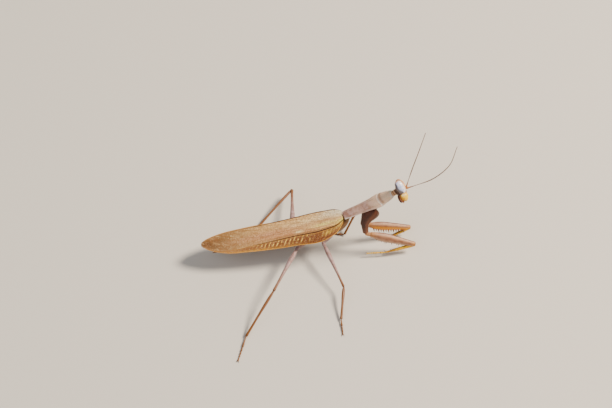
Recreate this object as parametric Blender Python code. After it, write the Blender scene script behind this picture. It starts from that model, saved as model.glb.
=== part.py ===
"""A praying mantis in its brown form, life size, standing still on its four walking legs.

Sizes and places are in millimetres: +X runs forward to the head, +Y to the insect's left, +Z up,
and the walking feet stand at Z = 0. The last step moves the origin to the middle of the model's
footprint and turns millimetres into metres.
"""

import math

import bmesh
import bpy
import numpy as np
from mathutils import Matrix, Vector

for old_object in list(bpy.data.objects):
    bpy.data.objects.remove(old_object)

MM = 0.001
JOINT_GAP = 0.1  # clear space between two pieces that meet
RIGHT, LEFT = -1, 1
SIDE_NAMES = {RIGHT: "right", LEFT: "left"}

# ---- driving dimensions: trunk and wings
PROTHORAX_LENGTH = 17.8
PROTHORAX_PITCH = math.radians(29.5)
PROTHORAX_REAR = Vector((12.25, 0, 15.95))
BACK_HEIGHT = 16.6  # top of the folded wings above the wing roots
BACK_SLOPE = math.tan(math.radians(11.5))
WING_ROOT_X = 11.8
TEGMEN_LENGTH = 45.0
PLATE_THICKNESS = 0.5
TEGMEN_FOLD_HALF_WIDTH = ((0, 1.9), (0.03, 2.9), (0.12, 3.7), (0.35, 3.75), (0.7, 3.8), (0.85, 3.85), (1, 3.5))
COSTAL_STRIP_WIDTH = (
    (0, 0.8), (0.03, 1.9), (0.1, 3.3), (0.35, 3.3), (0.55, 2.4), (0.75, 1.2), (0.9, 0.5), (1, 0.3),
)
COSTAL_STRIP_SLOPE = ((0, 62), (0.4, 58), (0.7, 40), (1, 18))  # degrees below level
WING_ARCH = 0.55
WING_TIP_START = 0.72
WING_TIP_LIFT = 1.3
WING_STACK = 1.95  # both tegmina and the folded hindwings, with their gaps
HINDWING_LENGTH = 40.0
PRONOTUM_WIDTH = ((0, 3.1), (0.1, 3.3), (0.3, 3.5), (0.52, 4.0), (0.72, 4.95), (0.88, 3.9), (1, 2.7))
PRONOTUM_DEPTH = ((0, 2.2), (0.1, 2.4), (0.3, 2.9), (0.52, 3.3), (0.72, 3.5), (0.88, 2.9), (1, 2.0))
THORAX_LINE = ((-0.6, 0, 9.3), (4, 0, 10.1), (8.5, 0, 11.0), (11.2, 0, 12.5), (13.9, 0, 15.9))
THORAX_WIDTH = ((0, 5.2), (0.3, 6.0), (0.6, 5.8), (0.85, 4.0), (1, 2.0))
THORAX_DEPTH = ((0, 4.2), (0.3, 4.9), (0.6, 4.8), (0.85, 3.4), (1, 1.4))
ABDOMEN_FRONT_X, ABDOMEN_TIP_X = -0.75, -26.5
ABDOMEN_WIDTH = ((0, 5.4), (0.3, 6.2), (0.6, 5.8), (0.85, 4.0), (1, 1.6))
ABDOMEN_HEIGHT = ((0, 4.4), (0.3, 4.6), (0.6, 4.0), (0.85, 2.6), (1, 1.3))
ABDOMEN_RINGS = 9

# ---- driving dimensions: head, in its own frame (x out of the face, y to its left, z to the crown)
HEAD_CENTRE = Vector((30.25, 0.1, 26.9))
HEAD_YAW, HEAD_PITCH, HEAD_ROLL = math.radians(3), math.radians(15), math.radians(-50)
EYE_CENTRE = Vector((-0.05, 2.7, 0.75))  # the left eye
EYE_RADII = Vector((1.45, 1.2, 2.2))
EYE_LEAN = math.radians(12)
ANTENNA_ROOT = Vector((1.3, 0.95, -0.2))
# levels of the head capsule: height, half width, reach in front, reach behind
HEAD_LEVELS = (
    (2.5, 0.8, 0.3, 0.4), (2.35, 1.6, 0.7, 0.9), (1.9, 2.1, 1.0, 1.3), (1.0, 2.4, 1.25, 1.65),
    (0.0, 2.35, 1.45, 1.85), (-0.8, 2.0, 1.4, 1.8), (-1.6, 1.5, 1.25, 1.6), (-2.15, 1.2, 1.1, 1.45),
)
MOUTH_LEVELS = (
    (-2.25, 1.0, 1.0, 1.35), (-2.6, 1.2, 1.3, 1.6), (-3.1, 1.2, 1.4, 1.65), (-3.6, 0.95, 1.15, 1.45),
    (-4.0, 0.6, 0.75, 1.0), (-4.2, 0.2, 0.3, 0.4),
)
NECK_SIZE = ((0, 1.6), (0.5, 1.75), (1, 1.5))
ANTENNA_SIZE = ((0, 0.75), (0.05, 0.62), (0.1, 0.54), (1, 0.54))
ANTENNA_STEPS = {  # from its root, in the model's axes: the feelers sweep forward and up
    RIGHT: ((2.9, -0.3, 1.1), (8.0, -0.6, 3.7), (12.6, -0.9, 9.2), (15.0, -1.3, 19.7)),
    LEFT: ((0.8, 0.7, 1.8), (2.0, 2.0, 5.4), (4.0, 3.3, 12.3), (6.3, 5.2, 19.7)),
}

# ---- driving dimensions: legs
FORE_COXA_WIDTH = ((0, 1.9), (0.3, 2.2), (1, 1.4))
FORE_COXA_DEPTH = ((0, 3.6), (0.25, 4.2), (0.5, 3.6), (0.75, 2.7), (1, 1.9))
FORE_COXA_BOW = {RIGHT: Vector((-1.6, 0, 0)), LEFT: Vector((-0.6, 0, 0))}
FORE_TROCHANTER_WIDTH = ((0, 1.1), (1, 1.2))
FORE_TROCHANTER_DEPTH = ((0, 1.3), (1, 1.6))
FORE_FEMUR_WIDTH = ((0, 1.0), (0.3, 1.7), (0.7, 1.4), (1, 1.1))
FORE_FEMUR_DEPTH = ((0, 1.5), (0.3, 3.0), (0.6, 2.6), (1, 1.5))
FORE_TIBIA_WIDTH = ((0, 0.9), (0.5, 0.8), (1, 0.6))
FORE_TIBIA_DEPTH = ((0, 1.1), (0.4, 1.2), (0.8, 0.9), (1, 0.6))
FORE_CLAW_LENGTH = 2.4
FORE_FEMUR_SPINES, FORE_FEMUR_OUTER_SPINES, FORE_TIBIA_SPINES = 10, 4, 9
HIP_WIDTH = ((0, 2.2), (0.6, 1.8), (1, 1.2))
HIP_DEPTH = ((0, 2.0), (0.6, 1.7), (1, 1.2))
TROCHANTER_SIZE = ((0, 1.05), (1, 1.25))
FEMUR_WIDTH = ((0, 1.0), (0.18, 1.4), (0.5, 1.05), (0.8, 0.8), (1, 0.85))
FEMUR_DEPTH = ((0, 1.1), (0.18, 1.7), (0.5, 1.2), (0.8, 0.85), (1, 0.95))
MID_FEMUR_SHARE = 0.8  # the mid femur's thickness, as a share of the hind one's
TIBIA_WIDTH = ((0, 0.6), (0.1, 0.75), (0.6, 0.62), (1, 0.7))
TIBIA_DEPTH = ((0, 0.6), (0.1, 0.8), (0.6, 0.62), (1, 0.7))
WALKING_TARSUS, FORE_TARSUS = 0.62, 0.52  # thickness
MID_FEMUR, MID_TIBIA = 16.6, 10.7
HIND_FEMUR, HIND_TIBIA = 18.6, 16.5
TROCHANTER_LENGTH = 1.5
ANKLE_HEIGHT = 0.75
TARSOMERES = (0.42, 0.17, 0.13, 0.1, 0.18)  # shares of a tarsus, from the ankle out

# ---- stance: where each leg leaves the body, and where it goes
FORE_LEGS = {  # coxa base, coxa end, knee, wrist, toe
    RIGHT: ((21.5, -1.3, 19.6), (18.9, -3.2, 9.7), (34.9, -5.4, 3.8), (26.4, -6.0, 2.4), (19.2, -5.6, 2.0)),
    LEFT: ((22.0, 1.3, 19.8), (18.6, 0.9, 8.8), (34.4, 1.4, 4.0), (27.4, 0.2, 1.5), (21.4, 0.2, 1.4)),
}
WALKING_LEGS = {  # coxa base, coxa end, ankle on the floor, toe, the way the knee points
    ("mid", RIGHT): ((8.4, -1.7, 9.6), (5.3, -3.2, 7.3), (7.6, -28.8), (7.4, -34.2), (1, 0, 0.15)),
    ("mid", LEFT): ((7.6, 1.7, 9.6), (3.4, 3.1, 7.9), (13.3, 3.7), (8.6, 5.2), (0.5, 0.5, 0.7)),
    ("hind", RIGHT): ((1.8, -1.7, 8.8), (-2.8, -3.7, 6.7), (-22.6, -31.2), (-26.1, -39.6), (0.44, 0, 0.9)),
    ("hind", LEFT): ((1.8, 1.7, 8.8), (-3.6, 3.0, 6.7), (-13.6, 10.6), (-21.5, 5.9), (0.15, 1, -0.12)),
}

# ---- finishes: base colour, roughness
FINISHES = {
    "wing_brown": ((0.56, 0.37, 0.19), 0.5),
    "hindwing_smoke": ((0.45, 0.38, 0.3), 0.45),
    "cuticle_mauve": ((0.45, 0.32, 0.26), 0.5),
    "cuticle_brown": ((0.42, 0.24, 0.11), 0.5),
    "leg_lilac_brown": ((0.43, 0.25, 0.16), 0.45),
    "raptorial_tan": ((0.52, 0.28, 0.12), 0.4),
    "tibia_yellow": ((0.67, 0.44, 0.08), 0.35),
    "eye_lavender": ((0.6, 0.62, 0.74), 0.15),
    "mouth_amber": ((0.7, 0.4, 0.07), 0.2),
    "antenna_umber": ((0.28, 0.19, 0.14), 0.6),
}


def finish(name):
    """The Principled material of that name, made once."""
    if name in bpy.data.materials:
        return bpy.data.materials[name]
    colour, roughness = FINISHES[name]
    material = bpy.data.materials.new(name)
    material.use_nodes = True
    shader = material.node_tree.nodes["Principled BSDF"]
    shader.inputs["Base Color"].default_value = (*colour, 1)
    shader.inputs["Roughness"].default_value = roughness
    shader.inputs["Metallic"].default_value = 0
    return material


# ---- shapes
def along(stops, t):
    """The value at t of a smooth curve through (place, value) stops."""
    places, values = np.array(stops, dtype=float).T
    slopes = np.gradient(values, places)
    k = int(np.clip(np.searchsorted(places, t) - 1, 0, len(places) - 2))
    span = places[k + 1] - places[k]
    u = (t - places[k]) / span
    return float(
        (2 * u**3 - 3 * u**2 + 1) * values[k]
        + (u**3 - 2 * u**2 + u) * span * slopes[k]
        + (3 * u**2 - 2 * u**3) * values[k + 1]
        + (u**3 - u**2) * span * slopes[k + 1]
    )


def smooth_path(points):
    """A function of 0 to 1 that runs along a smooth curve through the points, and its length."""
    points = [Vector(p) for p in points]
    steps = [0.0]
    for a, b in zip(points, points[1:]):
        steps.append(steps[-1] + (b - a).length)
    length = steps[-1]
    axes = [[(s / length, p[k]) for s, p in zip(steps, points)] for k in range(3)]
    return (lambda t: Vector([along(axis, t) for axis in axes])), length


def mesh_object(name, bm, finish_name, hidden=False):
    """The object made from a bmesh in millimetres, or a cutter where it is hidden."""
    bmesh.ops.recalc_face_normals(bm, faces=bm.faces)
    mesh = bpy.data.meshes.new(name)
    bm.to_mesh(mesh)
    bm.free()
    mesh.materials.append(finish(finish_name))
    mesh.shade_smooth()
    mesh.set_sharp_from_angle(angle=math.radians(50))
    made = bpy.data.objects.new(name, mesh)
    bpy.context.collection.objects.link(made)
    if hidden:
        made.hide_render = True
        made.display_type = "WIRE"
    return made


def skin_rings(bm, rings):
    """Closes a row of rings of points into one body."""
    loops = [[bm.verts.new(p) for p in ring] for ring in rings]
    count = len(loops[0])
    for low, high in zip(loops, loops[1:]):
        for k in range(count):
            bm.faces.new((low[k], low[(k + 1) % count], high[(k + 1) % count], high[k]))
    bm.faces.new(loops[0][::-1])
    bm.faces.new(loops[-1])


def ring_places(length, end_radius, count):
    """Places along a limb, closer together where its two ends are rounded, and the size there."""
    bend = min(0.4, end_radius / length)
    inner = [bend + (1 - 2 * bend) * k / (count - 1) for k in range(count)]
    start = [(0.0, 0.45), (bend * 0.35, 0.8)]
    end = [(1 - bend * 0.35, 0.8), (1.0, 0.45)]
    return start + [(t, 1.0) for t in inner] + end


def limb(name, points, width, depth, across, finish_name, sides=10, count=8, grow=0.0, floor=False,
         hidden=False, ripple=None):
    """A rounded limb along points. width is measured along the direction across, depth at right angles."""
    place, length = smooth_path(points)
    across = Vector(across)
    half_end = 0.5 * min(along(width, 0), along(depth, 0))
    rings = []
    for t, size in ring_places(length, half_end, count):
        ahead = (place(min(1, t + 0.01)) - place(max(0, t - 0.01))).normalized()
        wide = (across - across.dot(ahead) * ahead).normalized()
        deep = ahead.cross(wide)
        swell = ripple(t) if ripple else 1.0
        half_w = 0.5 * along(width, t) * size * swell + grow
        half_d = 0.5 * along(depth, t) * size * swell + grow
        centre = place(t)
        if grow:
            centre = centre + ahead * grow * (t == 1.0) - ahead * grow * (t == 0.0)
        ring = []
        for k in range(sides):
            angle = math.tau * (k + 0.5) / sides
            point = centre + wide * half_w * math.cos(angle) + deep * half_d * math.sin(angle)
            if floor:
                point.z = max(0.0, point.z)
            ring.append(point)
        rings.append(ring)
    bm = bmesh.new()
    skin_rings(bm, rings)
    return mesh_object(name, bm, finish_name, hidden)


def segment(name, points, width, depth, across, finish_name, **shape):
    """A limb, with the room that it needs in the piece it grows from."""
    made = limb(name, points, width, depth, across, finish_name, **shape)
    room = limb(name + "_room", points, width, depth, across, finish_name, grow=JOINT_GAP,
                hidden=True, **shape)
    return made, room


def combine(target, tool, operation):
    """Cuts the tool out of the target, or joins it on."""
    change = target.modifiers.new(operation.lower() + "_" + tool.name, "BOOLEAN")
    change.operation = operation
    change.solver = "EXACT"
    change.object = tool


def spikes(name, rows):
    """A hidden object of cones, each given by its root, its tip and its radius, to be joined to a limb."""
    bm = bmesh.new()
    for root, tip, radius in rows:
        root, tip = Vector(root), Vector(tip)
        turn = (tip - root).to_track_quat("Z", "Y").to_matrix().to_4x4()
        middle = Matrix.Translation((root + tip) / 2)
        bmesh.ops.create_cone(bm, cap_ends=True, segments=4, radius1=radius, radius2=radius * 0.12,
                              depth=(tip - root).length, matrix=middle @ turn)
    return mesh_object(name, bm, "antenna_umber", hidden=True)


# ---- wings
def back_height(x):
    """Height of the top of the folded wings at x: a straight slope that lifts a little at the tip."""
    behind = WING_ROOT_X - x
    tip = max(0.0, behind / TEGMEN_LENGTH - WING_TIP_START) / (1 - WING_TIP_START)
    return BACK_HEIGHT - BACK_SLOPE * behind + WING_TIP_LIFT * tip**2


def tip_rounding(t):
    """How far in a wing's edges are drawn near its tip, as a share of their width."""
    if t <= WING_TIP_START:
        return 1.0
    u = (t - WING_TIP_START) / (1 - WING_TIP_START)
    return max(0.06, math.sqrt(1 - u**2.4))


def tegmen(side, drop):
    """A leathery forewing: its flat field lies over the back, its costal strip slopes down the flank."""
    along_count, across_count, fold = 16, 8, 5
    bm = bmesh.new()
    rows = []
    for i in range(along_count + 1):
        t = 0.5 - 0.5 * math.cos(math.pi * i / along_count)  # closer together at the root and the tip
        x = WING_ROOT_X - TEGMEN_LENGTH * t
        narrow = tip_rounding(t)
        fold_y = along(TEGMEN_FOLD_HALF_WIDTH, t) * narrow
        hind_y = -0.8 * fold_y
        strip = along(COSTAL_STRIP_WIDTH, t) * narrow
        slope = math.radians(along(COSTAL_STRIP_SLOPE, t))
        row = []
        for k in range(across_count + 1):
            if k <= fold:
                y = hind_y + (fold_y - hind_y) * k / fold
                fall = WING_ARCH * (y / 4.0) ** 2
            else:
                out = strip * (k - fold) / (across_count - fold)
                y = fold_y + out * math.cos(slope)
                fall = WING_ARCH * (fold_y / 4.0) ** 2 + out * math.sin(slope)
            row.append(bm.verts.new((x, side * y, back_height(x) - drop - fall)))
        rows.append(row)
    for low, high in zip(rows, rows[1:]):
        for k in range(across_count):
            corners = (low[k], low[k + 1], high[k + 1], high[k])
            bm.faces.new(corners if side == LEFT else corners[::-1])
    return plate("tegmen_" + SIDE_NAMES[side], bm, "wing_brown")


def hindwings():
    """The fanned hindwings, folded flat together between the tegmina and the abdomen."""
    along_count, across_count, half_width = 10, 4, 3.0
    bm = bmesh.new()
    rows = []
    for i in range(along_count + 1):
        t = 0.5 - 0.5 * math.cos(math.pi * i / along_count)
        x = WING_ROOT_X - 1.5 - HINDWING_LENGTH * t
        reach = half_width * min(1.0, 0.6 + 3 * t) * tip_rounding(t)
        drop = 2 * (PLATE_THICKNESS + JOINT_GAP)
        row = []
        for k in range(across_count + 1):
            y = reach * (1 - 2 * k / across_count)
            row.append(bm.verts.new((x, y, back_height(x) - drop - WING_ARCH * (y / 4.0) ** 2)))
        rows.append(row)
    for low, high in zip(rows, rows[1:]):
        for k in range(across_count):
            bm.faces.new((low[k], high[k], high[k + 1], low[k + 1]))
    return plate("hindwings", bm, "hindwing_smoke")


def plate(name, bm, finish_name):
    """A sheet of faces given its thickness, downwards."""
    bmesh.ops.recalc_face_normals(bm, faces=bm.faces)
    bm.faces.ensure_lookup_table()
    if sum(face.normal.z for face in bm.faces) < 0:
        bmesh.ops.reverse_faces(bm, faces=bm.faces)
    top = list(bm.verts)
    under = {v: bm.verts.new(v.co - PLATE_THICKNESS * v.normal) for v in top}
    rim = [edge for edge in bm.edges if edge.is_boundary]
    faces = list(bm.faces)
    for edge in rim:
        a, b = edge.verts
        bm.faces.new((a, b, under[b], under[a]))
    for face in faces:
        bm.faces.new([under[v] for v in reversed(face.verts)])
    return mesh_object(name, bm, finish_name)


# ---- trunk
def trunk():
    """The prothorax, the thorax that carries the wings, the abdomen and its cerci."""
    forward = Vector((math.cos(PROTHORAX_PITCH), 0, math.sin(PROTHORAX_PITCH)))
    front = PROTHORAX_REAR + PROTHORAX_LENGTH * forward
    middle = PROTHORAX_REAR + 0.5 * PROTHORAX_LENGTH * forward + Vector((0.15, 0, -0.3))
    prothorax = limb(
        "pronotum", (PROTHORAX_REAR, middle, front),
        PRONOTUM_WIDTH, PRONOTUM_DEPTH, (0, 1, 0), "cuticle_mauve", sides=12, count=12)
    thorax, thorax_room = segment("pterothorax", THORAX_LINE, THORAX_WIDTH, THORAX_DEPTH, (0, 1, 0),
                                  "cuticle_brown", sides=12, count=8)
    combine(prothorax, thorax_room, "DIFFERENCE")

    abdomen_points = []
    for k in range(7):
        t = k / 6
        x = ABDOMEN_FRONT_X + (ABDOMEN_TIP_X - ABDOMEN_FRONT_X) * t
        z = back_height(x) - WING_STACK - 0.5 * along(ABDOMEN_HEIGHT, t)
        abdomen_points.append((x, 0, z))
    limb("abdomen", abdomen_points, ABDOMEN_WIDTH, ABDOMEN_HEIGHT, (0, 1, 0), "cuticle_brown",
         sides=12, count=ABDOMEN_RINGS)
    tip = Vector(abdomen_points[-1])
    for side in (RIGHT, LEFT):
        root = tip + Vector((0.2, side * 0.95, 0))
        limb("cercus_" + SIDE_NAMES[side],
             (root, root + Vector((-1.8, side * 0.8, -0.1)), root + Vector((-3.6, side * 1.3, 0.1))),
             ((0, 0.6), (0.3, 0.8), (1, 0.5)), ((0, 0.6), (0.3, 0.8), (1, 0.5)),
             (0, 1, 0), "cuticle_brown", sides=6, count=4)
    return prothorax, thorax, front


# ---- head
def head_frame():
    """Turns a point of the head's own frame into the model's."""
    turn = (Matrix.Rotation(HEAD_YAW, 4, "Z") @ Matrix.Rotation(-HEAD_PITCH, 4, "Y")
            @ Matrix.Rotation(HEAD_ROLL, 4, "X"))
    return Matrix.Translation(HEAD_CENTRE) @ turn


def levels_body(name, levels, finish_name, sides=18):
    """A body of the head built up from level rings, wider across than deep."""
    frame = head_frame()
    rings = []
    for z, half_width, reach_front, reach_back in levels:
        ring = []
        for k in range(sides):
            angle = math.tau * (k + 0.5) / sides
            reach = reach_front if math.cos(angle) > 0 else reach_back
            ring.append(frame @ Vector((reach * math.cos(angle), half_width * math.sin(angle), z)))
        rings.append(ring)
    bm = bmesh.new()
    skin_rings(bm, rings)
    return mesh_object(name, bm, finish_name)


def eye(side, grow, hidden):
    """A compound eye, or the room that it needs in the head."""
    lean = Matrix.Rotation(-side * EYE_LEAN, 4, "X")
    centre = Matrix.Translation((EYE_CENTRE.x, side * EYE_CENTRE.y, EYE_CENTRE.z))
    radii = Matrix.Diagonal((*(EYE_RADII + Vector((grow, grow, grow))), 1))
    bm = bmesh.new()
    bmesh.ops.create_uvsphere(bm, u_segments=14, v_segments=9, radius=1,
                              matrix=head_frame() @ centre @ lean @ radii)
    name = "eye_" + SIDE_NAMES[side] + ("_room" if hidden else "")
    return mesh_object(name, bm, "eye_lavender", hidden)


def head(pronotum_front):
    """The triangular head on its short neck, with eyes, mouthparts and feelers."""
    frame = head_frame()
    capsule = levels_body("head", HEAD_LEVELS, "cuticle_mauve")
    mouth = levels_body("mouthparts", MOUTH_LEVELS, "mouth_amber", sides=12)
    for side in (RIGHT, LEFT):
        eye(side, 0, hidden=False)
        combine(capsule, eye(side, JOINT_GAP, hidden=True), "DIFFERENCE")
        root = frame @ Vector((ANTENNA_ROOT.x, side * ANTENNA_ROOT.y, ANTENNA_ROOT.z))
        points = [root] + [root + Vector(step) for step in ANTENNA_STEPS[side]]
        name = "antenna_" + SIDE_NAMES[side]
        _, room = segment(name, points, ANTENNA_SIZE, ANTENNA_SIZE, (0, 1, 0.01), "antenna_umber",
                          sides=6, count=13)
        combine(capsule, room, "DIFFERENCE")
    palps = []
    for side in (RIGHT, LEFT):
        root = frame @ Vector((0.2, side * 0.8, -3.0))
        palps.append((root, frame @ Vector((0.6, side * 1.2, -4.3)), 0.3))
    combine(mouth, spikes("palps", palps), "UNION")

    nape = frame @ Vector((-1.0, 0, -0.2))
    neck_points = (pronotum_front - Vector((0.5, 0, 0.35)), pronotum_front.lerp(nape, 0.55), nape)
    _, neck_room = segment("neck", neck_points, NECK_SIZE, NECK_SIZE, (0, 1, 0), "cuticle_brown",
                           sides=10, count=5)
    combine(capsule, neck_room, "DIFFERENCE")
    return neck_room


# ---- legs
def tarsus(name, ankle, toe, thickness, tibia, floor):
    """Five tarsomeres in a row from the tibia's end, each wider at its far end, and a pair of claws."""
    joints = np.cumsum(TARSOMERES)

    def ripple(t):
        before = max([0.0] + [j for j in joints[:-1] if j <= t])
        after = min(j for j in joints if j >= min(t, joints[-1]) - 1e-9)
        share = (t - before) / max(after - before, 1e-6)
        return 0.85 + 0.35 * share

    ankle, toe = Vector(ankle), Vector(toe)
    ahead = (toe - ankle).normalized()
    rise = Vector((0, 0, 0.12)) if floor else Vector((0, 0, 0))
    across = ahead.cross(Vector((0, 0, 1))).normalized()
    size = ((0, thickness), (0.5, thickness * 0.95), (1, thickness * 0.85))
    points = (ankle, ankle.lerp(toe, 0.5) - rise, toe)
    foot, room = segment(name, points, size, size, across, "leg_lilac_brown", sides=6, count=11,
                         floor=floor, ripple=ripple)
    combine(tibia, room, "DIFFERENCE")
    claws = []
    for way in (-1, 1):
        root = toe - 0.3 * ahead + way * 0.13 * across
        tip = toe + 0.55 * ahead + way * 0.4 * across
        tip.z = max(tip.z - 0.15, 0.1)
        claws.append((root, tip, 0.11))
    combine(foot, spikes(name + "_claws", claws), "UNION")


def knee_place(hip, ankle, upper, lower, bend):
    """Where two leg segments of these lengths meet, bent towards the direction bend."""
    reach = ankle - hip
    ahead = reach.normalized()
    share = (upper**2 - lower**2 + reach.length**2) / (2 * reach.length)
    height = math.sqrt(max(upper**2 - share**2, 0.0))
    off = Vector(bend)
    off = (off - off.dot(ahead) * ahead).normalized()
    return hip + share * ahead + height * off


def walking_leg(pair, side, thorax):
    """A mid or hind leg: coxa, trochanter, femur, tibia and a tarsus that stands on the floor."""
    coxa_base, hip, ankle, toe, bend = WALKING_LEGS[pair, side]
    upper, lower = (MID_FEMUR, MID_TIBIA) if pair == "mid" else (HIND_FEMUR, HIND_TIBIA)
    name = pair + "leg_" + SIDE_NAMES[side] + "_"
    coxa_base, hip = Vector(coxa_base), Vector(hip)
    ankle, toe = Vector((*ankle, ANKLE_HEIGHT)), Vector((*toe, 0.25))
    knee = knee_place(hip, ankle, upper, lower, bend)
    thigh = (knee - hip).normalized()
    shin = (ankle - knee).normalized()
    across = thigh.cross(shin).normalized()

    coxa, coxa_room = segment(name + "coxa", (coxa_base, coxa_base.lerp(hip, 0.5), hip), HIP_WIDTH,
                              HIP_DEPTH, (0, 0, 1), "leg_lilac_brown", sides=8, count=4)
    combine(thorax, coxa_room, "DIFFERENCE")
    turn = hip + thigh * TROCHANTER_LENGTH
    trochanter, room = segment(name + "trochanter", (hip - 0.2 * thigh, hip.lerp(turn, 0.5), turn),
                               TROCHANTER_SIZE, TROCHANTER_SIZE, across, "leg_lilac_brown",
                               sides=6, count=3)
    combine(coxa, room, "DIFFERENCE")
    middle = turn.lerp(knee, 0.5) + Vector((0, 0, 0.15))
    share = MID_FEMUR_SHARE if pair == "mid" else 1.0
    wide, deep = ([(t, share * size) for t, size in stops] for stops in (FEMUR_WIDTH, FEMUR_DEPTH))
    femur, room = segment(name + "femur", (turn - 0.25 * thigh, middle, knee), wide, deep, across,
                          "leg_lilac_brown", sides=8, count=7)
    combine(trochanter, room, "DIFFERENCE")
    middle = knee.lerp(ankle, 0.5) + Vector((0, 0, 0.2))
    tibia, room = segment(name + "tibia", (knee + 0.1 * shin, middle, ankle), TIBIA_WIDTH,
                          TIBIA_DEPTH, across, "leg_lilac_brown", sides=8, count=5)
    combine(femur, room, "DIFFERENCE")
    tarsus(name + "tarsus", ankle, toe, WALKING_TARSUS, tibia, floor=True)


def foreleg(side, prothorax):
    """A raptorial leg: long coxa, spined femur, and a spined tibia folded back under it."""
    base, hip, knee, wrist, toe = (Vector(p) for p in FORE_LEGS[side])
    name = "foreleg_" + SIDE_NAMES[side] + "_"
    thigh = (knee - hip).normalized()
    shin = (wrist - knee).normalized()
    across = thigh.cross(shin).normalized()
    blade = across.cross(thigh).normalized()  # from the femur towards the folded tibia
    if blade.dot(shin) < 0:
        blade.negate()

    middle = base.lerp(hip, 0.5) + FORE_COXA_BOW[side]
    coxa, coxa_room = segment(name + "coxa", (base, middle, hip), FORE_COXA_WIDTH, FORE_COXA_DEPTH,
                              across, "leg_lilac_brown", sides=8, count=6)
    combine(prothorax, coxa_room, "DIFFERENCE")
    turn = hip + thigh * 1.8
    trochanter, room = segment(name + "trochanter", (hip - 0.1 * thigh, hip.lerp(turn, 0.5), turn),
                               FORE_TROCHANTER_WIDTH, FORE_TROCHANTER_DEPTH, across,
                               "raptorial_tan", sides=6, count=3)
    combine(coxa, room, "DIFFERENCE")
    femur, room = segment(name + "femur", (turn - 0.4 * thigh, turn.lerp(knee, 0.5), knee),
                          FORE_FEMUR_WIDTH, FORE_FEMUR_DEPTH, across, "raptorial_tan",
                          sides=8, count=8)
    combine(trochanter, room, "DIFFERENCE")

    start, run = turn, knee - turn
    teeth = []
    for row, count, first, last in ((1, FORE_FEMUR_SPINES, 0.2, 0.86), (-1, FORE_FEMUR_OUTER_SPINES, 0.3, 0.75)):
        for k in range(count):
            t = first + (last - first) * k / (count - 1)
            long = 1.5 if row < 0 else (1.6 if k % 2 == 0 else 1.0)
            edge = start + run * t + blade * 0.32 * along(FORE_FEMUR_DEPTH, t)
            root = edge + across * row * 0.3 * inward(across, side)
            tip = root + blade * long + thigh * 0.25 + across * row * 0.25 * inward(across, side)
            teeth.append((root, tip, 0.2))
    combine(femur, spikes(name + "femur_spines", teeth), "UNION")

    tibia, room = segment(name + "tibia", (knee + 0.15 * shin, knee.lerp(wrist, 0.5), wrist),
                          FORE_TIBIA_WIDTH, FORE_TIBIA_DEPTH, across, "tibia_yellow",
                          sides=6, count=5)
    combine(femur, room, "DIFFERENCE")
    facing = across.cross(shin).normalized()
    if facing.dot(thigh) > 0:
        facing.negate()
    teeth = []
    for k in range(FORE_TIBIA_SPINES):
        t = 0.3 + 0.6 * k / (FORE_TIBIA_SPINES - 1)
        root = knee + (wrist - knee) * t - facing * -0.25
        tip = root + facing * (0.55 + 0.35 * t) + shin * 0.3
        teeth.append((root, tip, 0.15))
    claw_root = wrist - shin * 0.6
    claw_tip = wrist + shin * (FORE_CLAW_LENGTH - 0.6) + facing * 1.0
    teeth.append((claw_root, claw_tip, 0.3))
    combine(tibia, spikes(name + "tibia_spines", teeth), "UNION")
    away = (toe - wrist).normalized()
    tarsus(name + "tarsus", wrist - facing * 0.3 + away * 0.1, toe, FORE_TARSUS, tibia, floor=False)


def inward(across, side):
    """1 where across points to the body's middle plane from a leg on this side, and -1 where not."""
    return 1 if across.y * side < 0 else -1


def set_origin():
    """Moves everything so that the origin is under the middle of the box, and turns it to metres."""
    bpy.context.view_layer.update()
    depsgraph = bpy.context.evaluated_depsgraph_get()
    low, high = Vector((1e9,) * 3), Vector((-1e9,) * 3)
    solids = [o for o in bpy.data.objects if o.type == "MESH" and not o.hide_render]
    for solid in solids:
        seen = solid.evaluated_get(depsgraph)
        for vertex in seen.data.vertices:
            low = Vector(map(min, low, vertex.co))
            high = Vector(map(max, high, vertex.co))
    shift = Matrix.Translation((-(low.x + high.x) / 2, -(low.y + high.y) / 2, -low.z))
    for item in bpy.data.objects:
        item.data.transform(Matrix.Scale(MM, 4) @ shift)


prothorax_object, thorax_object, neck_front = trunk()
tegmen(RIGHT, 0.0)
tegmen(LEFT, PLATE_THICKNESS + JOINT_GAP)
hindwings()
combine(prothorax_object, head(neck_front), "DIFFERENCE")
for leg_side in (RIGHT, LEFT):
    foreleg(leg_side, prothorax_object)
    for leg_pair in ("mid", "hind"):
        walking_leg(leg_pair, leg_side, thorax_object)
set_origin()
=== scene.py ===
# %% [markdown]
# # A praying mantis, life size
#
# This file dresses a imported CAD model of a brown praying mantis. The CAD model says where each part
# of the insect is and how large it is, and every surface here is built over those places: wings with
# their veins, a shield on the back, a triangular head with two great eyes, and jointed legs.
# Lengths are written in millimetres, with +X forward, +Y to the insect's left and +Z up.

# %% The frame
import math
from types import SimpleNamespace

import bmesh
import bpy
import numpy as np
from mathutils import Matrix, Vector


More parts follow.
